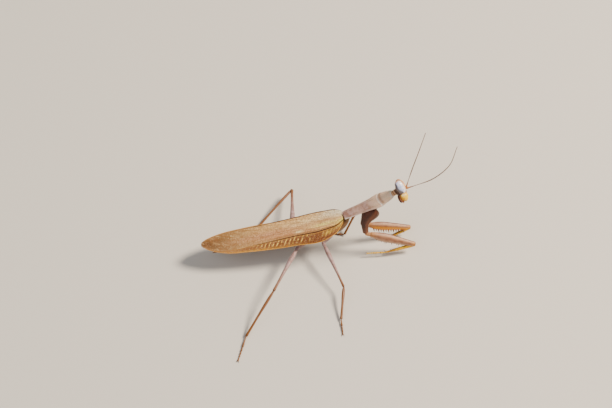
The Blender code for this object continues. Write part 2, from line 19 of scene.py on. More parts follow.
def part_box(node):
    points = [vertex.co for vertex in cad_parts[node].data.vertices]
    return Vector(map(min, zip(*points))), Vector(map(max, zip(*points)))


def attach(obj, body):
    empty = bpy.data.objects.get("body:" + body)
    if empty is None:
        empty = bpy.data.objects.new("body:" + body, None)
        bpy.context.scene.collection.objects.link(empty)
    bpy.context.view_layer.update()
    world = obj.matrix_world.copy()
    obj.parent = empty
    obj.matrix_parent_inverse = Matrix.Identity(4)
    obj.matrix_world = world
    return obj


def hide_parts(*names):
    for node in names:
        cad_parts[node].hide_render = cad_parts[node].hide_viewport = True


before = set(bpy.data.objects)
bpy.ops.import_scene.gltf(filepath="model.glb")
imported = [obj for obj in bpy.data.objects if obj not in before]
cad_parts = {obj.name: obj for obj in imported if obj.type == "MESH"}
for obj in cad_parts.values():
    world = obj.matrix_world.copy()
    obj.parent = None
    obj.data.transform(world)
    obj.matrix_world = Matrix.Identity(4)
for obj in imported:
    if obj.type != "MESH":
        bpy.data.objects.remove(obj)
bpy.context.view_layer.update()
MM = 0.001  # one millimetre, in Blender's metres
WING_ROOT_X = 11.8  # where the drawing has the forewings' roots
wing_right, wing_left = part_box("tegmen_right"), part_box("tegmen_left")
ORIGIN = Vector((wing_right[1].x - WING_ROOT_X * MM, (wing_right[0].y + wing_left[1].y) / 2, 0))
RIGHT, LEFT = -1, 1
SIDE = {RIGHT: "right", LEFT: "left"}
print("drawing origin at", [round(v / MM, 2) for v in ORIGIN], "mm in the model")

# %% [markdown]
# ## Curves and bodies
#
# Nearly every part of an insect is a tube whose width changes along a curved line: a leg segment, a
# feeler, a belly. One function therefore draws a closed, round-ended body along a curve. Metaballs
# or sculpting could do it too, but a lofted body keeps exact widths and gives clean, even faces.
# A body can also keep values at its vertices, such as how dark a joint is, and the finishes read them.


# %% Smooth curves
def curve(stops, t):
    """Value at t, or at each of many t, of a smooth curve through (place, value) stops."""
    places, values = np.array(stops, dtype=float).T
    slopes = np.gradient(values, places)
    t = np.asarray(t, dtype=float)
    k = np.clip(np.searchsorted(places, t) - 1, 0, len(places) - 2)
    span = places[k + 1] - places[k]
    u = (t - places[k]) / span
    return (
        (2 * u**3 - 3 * u**2 + 1) * values[k]
        + (u**3 - 2 * u**2 + u) * span * slopes[k]
        + (3 * u**2 - 2 * u**3) * values[k + 1]
        + (u**3 - u**2) * span * slopes[k + 1]
    )


def step(low, high, t):
    """0 below low, 1 above high, and a smooth rise between."""
    u = np.clip((np.asarray(t, dtype=float) - low) / (high - low), 0, 1)
    return u * u * (3 - 2 * u)


def bump(place, reach, t):
    """A smooth hump of height 1 at a place."""
    return np.exp(-(((np.asarray(t, dtype=float) - place) / reach) ** 2))


print("a smooth step, a quarter of the way up it:", float(step(0, 1, 0.25)))


# %% A line through points
class Path:
    """A smooth line through points, asked for by the share of its length."""

    def __init__(self, points):
        points = np.array([tuple(p) for p in points], dtype=float)
        steps = np.concatenate([[0], np.cumsum(np.linalg.norm(np.diff(points, axis=0), axis=1))])
        self.length = steps[-1]
        self.axes = [list(zip(steps / self.length, points[:, k])) for k in range(3)]

    def at(self, t):
        return np.stack([curve(axis, t) for axis in self.axes], axis=-1)

    def ahead(self, t):
        t = np.asarray(t, dtype=float)
        way = self.at(np.minimum(1, t + 0.01)) - self.at(np.maximum(0, t - 0.01))
        return way / np.linalg.norm(way, axis=-1, keepdims=True)


def unit(v):
    v = np.asarray(v, dtype=float)
    return v / np.linalg.norm(v, axis=-1, keepdims=True)


def between(a, b, bow=(0, 0, 0)):
    """Three points from a to b, the middle one moved by bow."""
    return a, 0.5 * (a + b) + np.array(bow), b


print("a 3 by 4 corner is", Path(((0, 0, 0), (3, 0, 0), (3, 4, 0))).length, "mm long")


# %% Faces of a tube
def tube_faces(rings, sides):
    """Faces of a tube of rings, closed by two points that come after them: its start and its end."""
    pairs = [(k, (k + 1) % sides) for k in range(sides)]
    faces = [(i * sides + a, i * sides + b, (i + 1) * sides + b, (i + 1) * sides + a)
             for i in range(rings - 1) for a, b in pairs]
    last = (rings - 1) * sides
    faces += [(rings * sides, b, a) for a, b in pairs]
    faces += [(rings * sides + 1, last + a, last + b) for a, b in pairs]
    return faces


print("a tube of 3 rings with 8 sides has", len(tube_faces(3, 8)), "faces")

# %% A body along a curve
CAP_STEPS = 7  # rings of points from the pole of a rounded end to the place where it meets the side


class Shape:
    """Closed surfaces gathered into one mesh, with values kept at each vertex."""

    def __init__(self):
        self.points, self.faces, self.slots, self.values, self.total = [], [], [], {}, 0

    def add(self, points, faces, slot=0, **values):
        points = np.asarray(points, dtype=float)
        self.points.append(points)
        self.faces += [tuple(k + self.total for k in face) for face in faces]
        self.slots += [slot] * len(faces)
        for key in set(values) | set(self.values):
            rows = self.values.setdefault(key, np.zeros(self.total))
            fresh = np.broadcast_to(np.asarray(values.get(key, 0.0), dtype=float), (len(points),))
            self.values[key] = np.concatenate([rows, fresh])
        self.total += len(points)
        return self

    def body(self, line, width, depth, across, rings=40, sides=24, form=None, ends=(1.0, 1.0),
             floor=None, slot=0, **values):
        """A round-ended body along a line. form and the values may be rules of grids (t, angle), where
        t runs from 0 to 1 along the line, and angle 0 looks across. floor flattens what lies below."""
        line = line if isinstance(line, Path) else Path(line)
        size_0, size_1 = (0.25 * float(curve(width, e) + curve(depth, e)) for e in (0, 1))
        cap_0, cap_1 = (min(0.45, s * e / line.length) for s, e in zip((size_0, size_1), ends))
        turn = np.linspace(0, math.pi / 2, CAP_STEPS)
        t = np.concatenate([cap_0 * (1 - np.cos(turn))[1:], np.linspace(cap_0, 1 - cap_1, rings)[1:-1],
                            1 - cap_1 * (1 - np.sin(turn))[:-1]])
        swell = np.ones_like(t)
        near, far = t < cap_0, t > 1 - cap_1
        swell[near] = np.sqrt(np.clip(1 - (1 - t[near] / cap_0) ** 2, 0, 1))
        swell[far] = np.sqrt(np.clip(1 - (1 - (1 - t[far]) / cap_1) ** 2, 0, 1))
        angle = np.arange(sides) * math.tau / sides
        ahead = line.ahead(t)
        across = np.array(tuple(across), dtype=float)
        wide = unit(across - (ahead @ across)[:, None] * ahead)
        deep = np.cross(ahead, wide)
        tt, aa = np.meshgrid(t, angle, indexing="ij")
        scale = swell[:, None] * (form(tt, aa) if form else np.ones_like(tt))
        half_w = (0.5 * curve(width, t)[:, None] * scale * np.cos(aa))[..., None]
        half_d = (0.5 * curve(depth, t)[:, None] * scale * np.sin(aa))[..., None]
        grid = line.at(t)[:, None, :] + half_w * wide[:, None] + half_d * deep[:, None]
        points = np.concatenate([grid.reshape(-1, 3), line.at([0.0]), line.at([1.0])])
        if floor is not None:
            points[:, 2] = np.maximum(points[:, 2], floor)
        for key, rule in values.items():
            if callable(rule):
                rows = rule(tt, aa)
                values[key] = np.concatenate([rows.reshape(-1), rows[0, :1], rows[-1, :1]])
        return self.add(points, tube_faces(len(t), sides), slot, **values)

    def make(self, name, *finishes):
        """The mesh object, in metres, at its place in the model."""
        mesh = bpy.data.meshes.new(name)
        places = np.concatenate(self.points) * MM + np.array(ORIGIN)
        mesh.from_pydata(places.tolist(), [], self.faces)
        for finish in finishes:
            mesh.materials.append(finish)
        mesh.polygons.foreach_set("material_index", self.slots)
        for key, rows in self.values.items():
            mesh.attributes.new(key, "FLOAT", "POINT").data.foreach_set("value", rows)
        made = bpy.data.objects.new(name, mesh)
        bpy.context.scene.collection.objects.link(made)
        edit = bmesh.new()
        edit.from_mesh(mesh)
        bmesh.ops.recalc_face_normals(edit, faces=edit.faces)
        edit.to_mesh(mesh)
        edit.free()
        mesh.shade_smooth()
        print(name, len(mesh.vertices), "vertices")
        return made


test = Shape().body(((0, 0, 0), (1, 0, 0), (2, 0, 0)), ((0, 1), (1, 1)), ((0, 1), (1, 1)), (0, 1, 0))
print("a plain body has", test.total, "points and", len(test.faces), "faces")


# %% Handing a piece to the model
def settle(piece, slot, *nodes):
    """Lets a piece ride on the model, in place of CAD nodes. Its slot is not used."""
    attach(piece, "root")
    if nodes:
        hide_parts(*nodes)
    return piece


print("the model has", len(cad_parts), "nodes to dress")

# %% [markdown]
# ## Finishes
#
# Insect cuticle is a natural composite of chitin and protein. It is satin rather than shiny, faintly
# waxy, and never one colour: broad blotches, fine pits and darker joints. Image textures could show
# that, but patterns computed from the place on the object stay sharp at any distance and need no
# unwrapping. Each scale below is the size of a real mark in millimetres. The specular level is low,
# because wax scatters light: with the usual one, thin legs would turn as pale as the floor.


# %% Colours and nodes
def colour(hex_code):
    """Linear colour from an sRGB hex value."""
    parts = [int(hex_code[k:k + 2], 16) / 255 for k in (0, 2, 4)]
    return (*(c / 12.92 if c <= 0.04045 else ((c + 0.055) / 1.055) ** 2.4 for c in parts), 1.0)


def connect(tree, node, inputs):
    """Sets a node's inputs, each from a value, an output, or a whole node's first output in use."""
    for key, value in inputs.items():
        if isinstance(value, bpy.types.Node):
            value = next(socket for socket in value.outputs if socket.enabled)
        if isinstance(value, bpy.types.NodeSocket):
            tree.links.new(value, node.inputs[key])
        else:
            node.inputs[key].default_value = value


def add(tree, kind, inputs=None, **settings):
    """Adds a node with its settings and its inputs."""
    made = tree.nodes.new(kind)
    for key, value in settings.items():
        setattr(made, key, value)
    connect(tree, made, inputs or {})
    return made


def marks(tree, place, size, low, high, detail=3.0):
    """Soft marks of a size in millimetres: 0 below low, 1 above high."""
    cloud = add(tree, "ShaderNodeTexNoise", {"Vector": place, "Scale": 1 / (size * MM), "Detail": detail})
    return add(tree, "ShaderNodeMapRange", {"Value": cloud, "From Min": low, "From Max": high},
               interpolation_type="SMOOTHSTEP")


def glaze(tree, skin, *coats):
    """Lays thin coats of colour over a skin. Each coat is a mark, its strength and its colour."""
    for mark, strength, paint in coats:
        share = add(tree, "ShaderNodeMath", {0: mark, 1: strength}, operation="MULTIPLY")
        skin = add(tree, "ShaderNodeMix", {0: share, 6: skin, 7: colour(paint)}, data_type="RGBA")
    return skin


def surface(name, **sockets):
    """A material with its Principled shader, the object's coordinates, and its tree."""
    material = bpy.data.materials.new(name)
    material.use_nodes = True
    tree = material.node_tree
    shader = tree.nodes["Principled BSDF"]
    for key, value in sockets.items():
        shader.inputs[key.replace("_", " ")].default_value = value
    place = add(tree, "ShaderNodeTexCoord").outputs["Object"]
    return material, tree, shader, place


print("middle grey is", round(colour("808080")[0], 3), "in linear light")

# %% Cuticle
CHITIN_IOR = 1.54
# The marks' sizes in millimetres: broad blotches, dark specks, pale dust, waxy patches and fine folds.
BLOTCH_SIZE, SPECK_SIZE, DUST_SIZE, WAX_SIZE, FOLD_SIZE = 1.3, 0.22, 0.3, 0.5, 0.6


def cuticle(name, base, blotch, tip, joint, pale="E4D4C4", roughness=0.42, coat=0.12, pits=0.14,
            relief=0.6):
    """Satin chitin: blotched and pitted, and stained where a piece keeps a tint, a pale or a shade.

    The pits are drawn about three times as wide as real ones, because those are too fine to show.
    """
    material, tree, shader, place = surface(
        name, IOR=CHITIN_IOR, Specular_IOR_Level=0.3, Coat_Weight=coat, Coat_Roughness=0.25,
        Subsurface_Weight=0.08, Subsurface_Radius=(0.6 * MM, 0.3 * MM, 0.15 * MM), Subsurface_Scale=1.0)
    tint, light, shade = (add(tree, "ShaderNodeAttribute", attribute_name=key).outputs["Fac"]
                          for key in ("tint", "pale", "shade"))
    # On some pieces the tint and pale coats are painted light, and the shade coat, laid in the joint colour,
    # is painted shade; elsewhere they are the cuticle's own colours and dark joints.
    skin = glaze(tree, colour(base), (marks(tree, place, BLOTCH_SIZE, 0.38, 0.66), 1.0, blotch),
                 (tint, 1.0, tip), (light, 1.0, pale),
                 (marks(tree, place, SPECK_SIZE, 0.56, 0.7, detail=5), 0.4, joint),
                 (marks(tree, place, DUST_SIZE, 0.58, 0.74, detail=4), 0.14, pale), (shade, 1.0, joint))
    rough = add(tree, "ShaderNodeMapRange", {"Value": marks(tree, place, WAX_SIZE, 0.3, 0.7),
                "To Min": roughness - 0.07, "To Max": roughness + 0.09})
    pit = add(tree, "ShaderNodeTexVoronoi", {"Vector": place, "Scale": 1 / (pits * MM)})
    pitted = add(tree, "ShaderNodeBump", {"Height": pit, "Strength": relief, "Distance": 0.02 * MM})
    folds = add(tree, "ShaderNodeTexNoise", {"Vector": place, "Scale": 1 / (FOLD_SIZE * MM), "Detail": 4.0})
    folded = add(tree, "ShaderNodeBump", {"Height": folds, "Strength": relief, "Distance": 0.06 * MM,
                 "Normal": pitted})
    connect(tree, shader, {"Base Color": skin, "Roughness": rough, "Normal": folded})
    return material


# The shield's hard plate: dusty mauve and matt, warmer and paler towards the front.
mauve_cuticle = cuticle("mauve_cuticle", "C09A8E", "9A6E5E", "FFD8B2", "703A1A", pale="FFF2E6")
# The head's thin shell: a warmer brown, almost black where painted shade lies at its back, under its cheeks
# and behind the eyes.
head_cuticle = cuticle("head_cuticle", "B48878", "9C7060", "E0B088", "34150E", pale="F0DCCA")
# Rings of the belly and plates of the thorax: earthy brown, made darker as painted shade for the thorax
# under the wings, and darker in every seam.
shaded_belly_cuticle = cuticle("shaded_belly_cuticle", "80582F", "6C4626", "C79B6A", "3A2014")
# The walking legs: a lilac bloom near the body that gives way to rusty brown.
leg_cuticle = cuticle("leg_cuticle", "AE908E", "98766E", "7C4A16", "42240F", pale="D8C6C2")
# The fore coxae: deep red-brown and dry, the dark base partly their own colour and partly painted shade,
# with a paler front edge that is painted light.
coxa_cuticle_painted_shade = cuticle("coxa_cuticle_painted_shade", "4C1E0E", "38150A", "80482A", "240C06", pale="A08470", coat=0.03,
                       roughness=0.5)
# The trap's femora: tan outside and orange on the face that holds the prey.
raptorial_cuticle = cuticle("raptorial_cuticle", "B07E5E", "98664A", "F6A406", "4E240F", pale="DDB898",
                            coat=0.08)
# The trap's tibiae and feet: clear yellow, so the closing edge stands out.
yellow_cuticle = cuticle("yellow_cuticle", "DCA200", "B07C00", "B06C10", "4A3004", pale="FFCC10",
                         coat=0.05, roughness=0.5)
# Lip and jaws: thick, smooth and the glossiest of all, like amber.
amber_cuticle = cuticle("amber_cuticle", "FFD22C", "F8B60E", "FFF2BE", "A0540A", roughness=0.28, coat=0.25)
# The lower jaws, in the shade of the upper ones: a dull maroon, partly their own colour and partly painted
# shade.
maroon_cuticle = cuticle("maroon_cuticle", "66301F", "502218", "A4582C", "2A100B", pale="8A5040", coat=0.06)
# The neck's skin is soft, unlike the plates, so it has no gloss at all.
neck_membrane = cuticle("neck_membrane", "B98460", "9A6644", "DDB48C", "54301E", roughness=0.5, coat=0.0)
print("finishes:", [m.name for m in bpy.data.materials if m.name.endswith(("cuticle", "membrane"))])

# %% [markdown]
# ## What grows in rows
#
# Spines, hairs and the veins of the wings all repeat: many small forms of one kind that follow a line
# or a surface. Placing them by hand would be slow and stiff. Two small Geometry Nodes trees do it:
# one stands a curved thorn on every point, aimed and sized by values kept at the point, and one turns
# every line into a tapering tube.


# %% A tree for thorns and hairs
def new_tree(name, **inputs):
    """An empty Geometry Nodes tree with named inputs, its group nodes and the inputs' sockets."""
    tree = bpy.data.node_groups.new(name, "GeometryNodeTree")
    tree.interface.new_socket("Geometry", in_out="INPUT", socket_type="NodeSocketGeometry")
    tree.interface.new_socket("Geometry", in_out="OUTPUT", socket_type="NodeSocketGeometry")
    for key, (kind, value) in inputs.items():
        socket = tree.interface.new_socket(key, in_out="INPUT", socket_type=kind)
        if value is not None:
            socket.default_value = value
    start = add(tree, "NodeGroupInput")
    return tree, start.outputs, add(tree, "NodeGroupOutput")


def thorn_tree():
    """Stands a bent, pointed thorn on each point of a mesh, darker towards its point."""
    tree, given, result = new_tree("thorns", Sides=("NodeSocketInt", 8), Bend=("NodeSocketFloat", 0.2),
                                   Dark=("NodeSocketFloat", 0.45), Finish=("NodeSocketMaterial", None))
    aim, lean, long, girth, up = (
        add(tree, "GeometryNodeInputNamedAttribute", {"Name": key}, data_type=kind)
        for key, kind in (("aim", "FLOAT_VECTOR"), ("lean", "FLOAT_VECTOR"), ("long", "FLOAT"),
                          ("girth", "FLOAT"), ("up", "FLOAT")))
    cone = add(tree, "GeometryNodeMeshCone", {"Vertices": given["Sides"], "Side Segments": 6,
               "Radius Top": 0.02, "Radius Bottom": 0.5, "Depth": 1.0})
    spot = add(tree, "ShaderNodeSeparateXYZ", {0: add(tree, "GeometryNodeInputPosition")})
    measured = add(tree, "GeometryNodeStoreNamedAttribute", {"Geometry": cone.outputs["Mesh"], "Name": "up",
                   "Value": spot.outputs["Z"]}, data_type="FLOAT", domain="POINT")
    dark = add(tree, "ShaderNodeMapRange", {"Value": spot.outputs["Z"], "From Min": given["Dark"],
               "From Max": 0.9}, interpolation_type="SMOOTHSTEP")
    shaded = add(tree, "GeometryNodeStoreNamedAttribute", {"Geometry": measured, "Name": "shade",
                 "Value": dark}, data_type="FLOAT", domain="POINT")
    turn = add(tree, "FunctionNodeAxesToRotation", {"Primary Axis": aim, "Secondary Axis": lean},
               primary_axis="Z", secondary_axis="X")
    size = add(tree, "ShaderNodeCombineXYZ", {"X": girth, "Y": girth, "Z": long})
    stand = add(tree, "GeometryNodeInstanceOnPoints", {"Points": given["Geometry"], "Instance": shaded,
                "Rotation": turn, "Scale": size})
    real = add(tree, "GeometryNodeRealizeInstances", {0: stand})
    bent = up
    for factor in (up, given["Bend"], long):
        bent = add(tree, "ShaderNodeMath", {0: bent, 1: factor}, operation="MULTIPLY")
    push = add(tree, "ShaderNodeVectorMath", {0: lean, "Scale": bent}, operation="SCALE")
    moved = add(tree, "GeometryNodeSetPosition", {"Geometry": real, "Offset": push})
    smooth = add(tree, "GeometryNodeSetShadeSmooth", {"Geometry": moved})
    painted = add(tree, "GeometryNodeSetMaterial", {"Geometry": smooth, "Material": given["Finish"]})
    connect(tree, result, {0: painted})
    return tree


thorns = thorn_tree()
print("thorn tree:", len(thorns.nodes), "nodes")


# %% A tree for tubes along lines
def vein_tree():
    """Turns every line of a mesh into a round tube as thick as its points say."""
    tree, given, result = new_tree("veins", Sides=("NodeSocketInt", 6), Finish=("NodeSocketMaterial", None))
    girth = add(tree, "GeometryNodeInputNamedAttribute", {"Name": "girth"}, data_type="FLOAT")
    lines = add(tree, "GeometryNodeMeshToCurve", {"Mesh": given["Geometry"]})
    ring = add(tree, "GeometryNodeCurvePrimitiveCircle", {"Resolution": given["Sides"], "Radius": 0.5})
    tube = add(tree, "GeometryNodeCurveToMesh", {"Curve": lines, "Profile Curve": ring, "Scale": girth,
               "Fill Caps": True})
    smooth = add(tree, "GeometryNodeSetShadeSmooth", {"Geometry": tube})
    real = add(tree, "GeometryNodeRealizeInstances", {0: smooth})
    painted = add(tree, "GeometryNodeSetMaterial", {"Geometry": real, "Material": given["Finish"]})
    connect(tree, result, {0: painted})
    return tree


veins = vein_tree()
print("vein tree:", len(veins.nodes), "nodes")


# %% Growing a piece
def grow(name, tree, points, edges=(), values=None, **inputs):
    """Runs a tree on points in millimetres and returns the plain mesh object it makes."""
    seed = bpy.data.meshes.new(name + "_seed")
    seed.from_pydata((np.asarray(points) * MM + np.array(ORIGIN)).tolist(), list(edges), [])
    for key, rows in (values or {}).items():
        rows = np.asarray(rows, dtype=float)
        if rows.ndim == 2:
            seed.attributes.new(key, "FLOAT_VECTOR", "POINT").data.foreach_set("vector", rows.ravel())
        else:
            scaled = rows * MM if key in ("girth", "long") else rows
            seed.attributes.new(key, "FLOAT", "POINT").data.foreach_set("value", scaled)
    holder = bpy.data.objects.new(name + "_seed", seed)
    bpy.context.scene.collection.objects.link(holder)
    growth = holder.modifiers.new("growth", "NODES")
    growth.node_group = tree
    names = {item.name: item.identifier for item in tree.interface.items_tree if item.in_out == "INPUT"}
    for key, value in inputs.items():
        growth[names[key]] = value
    bpy.context.view_layer.update()
    mesh = bpy.data.meshes.new_from_object(holder.evaluated_get(bpy.context.evaluated_depsgraph_get()))
    bpy.data.objects.remove(holder)
    bpy.data.meshes.remove(seed)
    mesh.name = name
    made = bpy.data.objects.new(name, mesh)
    bpy.context.scene.collection.objects.link(made)
    print(name, len(mesh.polygons), "faces grown")
    return made


# %% [markdown]
# ## The forewings
#
# The forewings, or tegmina, are leathery covers. The right one lies over the left. Each has a broad
# field that lies flat over the back and, past the strong radial vein, a costal strip that slopes down
# the flank. A flat plane with a texture would lose that fold, so the wing is a thin shell drawn row by
# row: each row bends where the vein runs, and the rows narrow to a rounded tip.

# %% The shape of a folded wing
BACK_HEIGHT, BACK_SLOPE = 16.6, math.tan(math.radians(11.5))
TEGMEN_LENGTH, WING_TIP_START, WING_TIP_LIFT = 45.0, 0.72, 1.3
TIP_ROUNDNESS, TIP_LEAST = 2.4, 0.06  # how full the tip's curve is, and the share of width it ends on
WING_ARCH, ARCH_REACH = 0.55, 4.0  # the back falls by the first at the second, out from the midline
WING_OVERLAP = 0.8  # how far the hind edge passes the midline, as a share of the half width
CREASE = 0.35  # the fold along the radial vein is rounded over this distance
FOLD_HALF_WIDTH = ((0, 1.9), (0.03, 2.9), (0.12, 3.7), (0.35, 3.75), (0.7, 3.8), (0.85, 3.85), (1, 3.5))
STRIP_WIDTH = ((0, 0.8), (0.03, 1.9), (0.1, 3.3), (0.35, 3.3), (0.55, 2.4), (0.75, 1.2), (0.9, 0.5),
               (1, 0.3))
STRIP_SLOPE = ((0, 62), (0.4, 58), (0.7, 40), (1, 18))  # degrees that the strip falls by
VEIN = 0.66  # where the radial vein lies across the wing: 0 is the hind edge, 1 the front edge


def back_height(x):
    """Height of the top of the folded wings: a straight slope that lifts a little at the tip."""
    behind = WING_ROOT_X - np.asarray(x, dtype=float)
    tip = np.maximum(0, behind / TEGMEN_LENGTH - WING_TIP_START) / (1 - WING_TIP_START)
    return BACK_HEIGHT - BACK_SLOPE * behind + WING_TIP_LIFT * tip**2


def tip_rounding(t):
    u = np.clip((np.asarray(t, dtype=float) - WING_TIP_START) / (1 - WING_TIP_START), 0, 1)
    return np.sqrt(np.clip(1 - u**TIP_ROUNDNESS, TIP_LEAST**2, 1))


def wing_points(side, drop, t, q):
    """Points of the forewing at shares t of its length and q of its breadth."""
    t, q = np.broadcast_arrays(np.asarray(t, dtype=float), np.asarray(q, dtype=float))
    narrow = tip_rounding(t)
    fold = curve(FOLD_HALF_WIDTH, t) * narrow
    strip = curve(STRIP_WIDTH, t) * narrow
    slope = np.radians(curve(STRIP_SLOPE, t))
    x = WING_ROOT_X - TEGMEN_LENGTH * t
    flat = q <= VEIN
    inner = -WING_OVERLAP * fold + (1 + WING_OVERLAP) * fold * np.clip(q / VEIN, 0, 1)
    out = strip * np.clip((q - VEIN) / (1 - VEIN), 0, 1)
    soft = CREASE * np.minimum(1, strip)
    bend = np.clip((np.where(flat, inner - fold, out) + soft) / (2 * soft), 0, 1)
    lift = np.where(np.abs(bend - 0.5) < 0.5, soft * 0.5 * (bend * (1 - bend)) * np.sin(slope), 0)
    y = np.where(flat, inner, fold + out * np.cos(slope))
    arch = WING_ARCH * (np.where(flat, inner, fold) / ARCH_REACH) ** 2
    z = back_height(x) - drop - (arch + np.where(flat, 0, out * np.sin(slope))) - lift
    return np.stack([x, side * y, z], axis=-1)


wing_ends = np.array((WING_ROOT_X, WING_ROOT_X - TEGMEN_LENGTH))
print("the back's height at root and tip:", np.round(back_height(wing_ends), 2), "mm")

# %% The family of veins
VEIN_SWEEP, VEIN_CURL = 0.63, 0.8  # how far the veins sweep back by the tip, and how soon


def fan(t, q):
    """The family of veins: every vein of the broad field keeps one value of this from root to edge."""
    sweep = VEIN_SWEEP * np.asarray(t, dtype=float) ** VEIN_CURL
    return q + sweep * (1 - np.asarray(q, dtype=float) / VEIN)


def across_fan(t, value):
    """The share of breadth where the vein of this value lies."""
    sweep = VEIN_SWEEP * np.asarray(t, dtype=float) ** VEIN_CURL
    return (value - sweep) / (1 - sweep / VEIN)


print("the vein that meets the hind edge half way leaves the root at", round(float(fan(0.5, 0.0)), 2))

# %% Broad colours of a wing
WING_GROUND = "E8BA7A"
WING_REGIONS = (  # colour, strength, then place and reach along the wing, and place and reach across it
    ("583A20", 1.0, 1.0, 0.36, 0.35, 0.7),  # brown tip
    ("FFE0A4", 0.8, 0.24, 0.16, 0.26, 0.16),  # pale back
    ("C88E6E", 0.75, 0.5, 0.24, 0.42, 0.14),  # rosy middle
    ("B06C4C", 0.8, 0.34, 0.2, 0.57, 0.08),  # rusty band above the fold
    ("FFF6D4", 1.0, 0.03, 0.12, 0.1, 0.22),  # cream root
    ("AC7A4A", 0.7, 0.17, 0.1, 0.36, 0.05),  # tan streak
    ("FFF08A", 1.0, 0.13, 0.08, 0.48, 0.055),  # yellow shoulder
    ("FFF070", 1.0, 0.0, 0.055, 0.6, 0.12),  # yellow root of the radial vein
    ("6A3A1A", 0.7, 0.32, 0.24, 0.652, 0.012),  # dark line along that vein
    ("FFEAAC", 1.0, 0.312, 0.03, 0.55, 0.038),  # milky spot
)
STRIP_REGIONS = (
    # The red-brown here is partly the strip's own colour and partly painted shade, where the strip slopes
    # down the flank away from the light.
    ("7A4428", 1.0, 0.3, 9.0, 0.83, 9.0),  # red-brown all over
    ("AC7A40", 0.85, 0.82, 0.2, 0.83, 0.5),  # tan towards the tip
    ("E8A82C", 0.95, 0.75, 0.36, 1.0, 0.09),  # golden front edge
    ("F8D048", 0.9, 0.11, 0.03, 0.8, 0.06),  # yellow spot
    ("F4E060", 1.0, 0.0, 0.05, 0.7, 0.16),  # yellow root
    ("6A2C18", 0.8, 0.17, 0.13, 0.93, 0.14),  # dark front edge near the root
    ("C4906C", 0.6, 0.45, 0.3, 0.69, 0.04),  # rosy line below the fold
)


def wing_ground(t, q):
    """Linear colour of each place of the wing before its fine pattern."""
    ground = np.tile(colour(WING_GROUND)[:3], (t.size, 1))
    front = step(VEIN - 0.006, VEIN + 0.012, q)
    for regions, share in ((WING_REGIONS, 1 - front), (STRIP_REGIONS, front)):
        for shade, strength, t_place, t_reach, q_place, q_reach in regions:
            cover = (strength * share * bump(t_place, t_reach, t) * bump(q_place, q_reach, q))[:, None]
            ground = ground * (1 - cover) + cover * np.array(colour(shade)[:3])
    return np.concatenate([ground, np.ones((t.size, 1))], axis=1)


print("painted regions:", len(WING_REGIONS), "on the back and", len(STRIP_REGIONS), "on the strip")

# %% A wing as a thin shell
WING_SHELL = 0.12
WING_BREADTH = 10.0  # millimetres that the breadth stands for, where the wing is widest
STRIP_SLANT = 0.03  # how far the strip's cross-veins slant back, as a share of the wing's length
RIPPLE_HEIGHT, RIPPLE_COUNT = 0.03, 75 / math.tau  # the field rises and falls between its veins


def shell(top, low, **values):
    """A closed thin shape between two grids of points, the upper face and the lower one."""
    rows, columns = top.shape[:2]
    count = rows * columns
    cell = [(i * columns + k, i * columns + k + 1, (i + 1) * columns + k + 1, (i + 1) * columns + k)
            for i in range(rows - 1) for k in range(columns - 1)]
    rim = ([(i * columns, (i + 1) * columns) for i in range(rows - 1)]
           + [((rows - 1) * columns + k, (rows - 1) * columns + k + 1) for k in range(columns - 1)]
           + [((i + 1) * columns + columns - 1, i * columns + columns - 1) for i in range(rows - 1)]
           + [(k + 1, k) for k in range(columns - 1)])
    faces = cell + [tuple(k + count for k in reversed(face)) for face in cell]
    faces += [(b, a, a + count, b + count) for a, b in rim]
    return Shape().add(np.concatenate([top.reshape(-1, 3), low.reshape(-1, 3)]), faces, **values)


def wing(side, drop, rows=230, columns=72):
    even = np.linspace(0, 1, rows)
    t = 0.5 * (0.5 - 0.5 * np.cos(np.pi * even)) + 0.5 * even  # rows lie closer at the root and the tip
    tt, qq = np.meshgrid(t, np.linspace(0, 1, columns), indexing="ij")
    top = wing_points(side, drop, tt, qq)
    normal = unit(np.cross(np.gradient(top, axis=0), np.gradient(top, axis=1)))
    normal *= np.sign(normal[..., 2:3])
    field = step(0.02, 0.15, tt) * step(1.0, 0.9, tt) * step(VEIN, VEIN - 0.06, qq)
    ripple = RIPPLE_HEIGHT * np.sin(math.tau * RIPPLE_COUNT * fan(tt, qq)) * field
    top = top + normal * ripple[..., None]
    t, q = (np.tile(grid.reshape(-1), 2) for grid in (tt, qq))
    bars = 0.6 * bump(0.11, 0.04, t) + step(0.2, 0.28, t) * step(0.68, 0.5, t)
    bars = bars * step(VEIN, VEIN + 0.03, q) * step(0.95, 0.82, q)
    made = shell(top, top - normal * WING_SHELL, bars=bars)
    made = made.make("forewing_" + SIDE[side], wing_leather)
    ground = made.data.attributes.new("ground", "FLOAT_COLOR", "POINT")
    ground.data.foreach_set("color", wing_ground(t, q).ravel())
    sheet = made.data.uv_layers.new(name="veins")
    corner = np.zeros(len(made.data.loops), dtype=np.int64)
    made.data.loops.foreach_get("vertex_index", corner)
    along = TEGMEN_LENGTH * (t - STRIP_SLANT * np.maximum(0, q - VEIN) / (1 - VEIN))
    across = WING_BREADTH * np.where(q < VEIN, fan(t, q), q)
    sheet.data.foreach_set("uv", np.stack([along[corner], across[corner]], axis=-1).ravel())
    return made


# %% [markdown]
# The wing's finish follows the wing, not the room, so it reads the wing's own UV map, laid out in
# millimetres: U runs from the root to the tip, and V stays the same along each vein, so a streak drawn
# along U sweeps back as the veins do. Between the veins lies a net of small cells, long in the
# wing's direction. The broad colours (cream root, yellow shoulder, rosy middle, brown tip, red-brown
# front strip) are kept at the vertices, because each has a place on the wing rather than a pattern.
# Leather would be uniform; a living wing is streaked, with pale bars and one milky spot. It reads as
# dry and thin: hardly any gloss, and a soft glow where light passes through it.


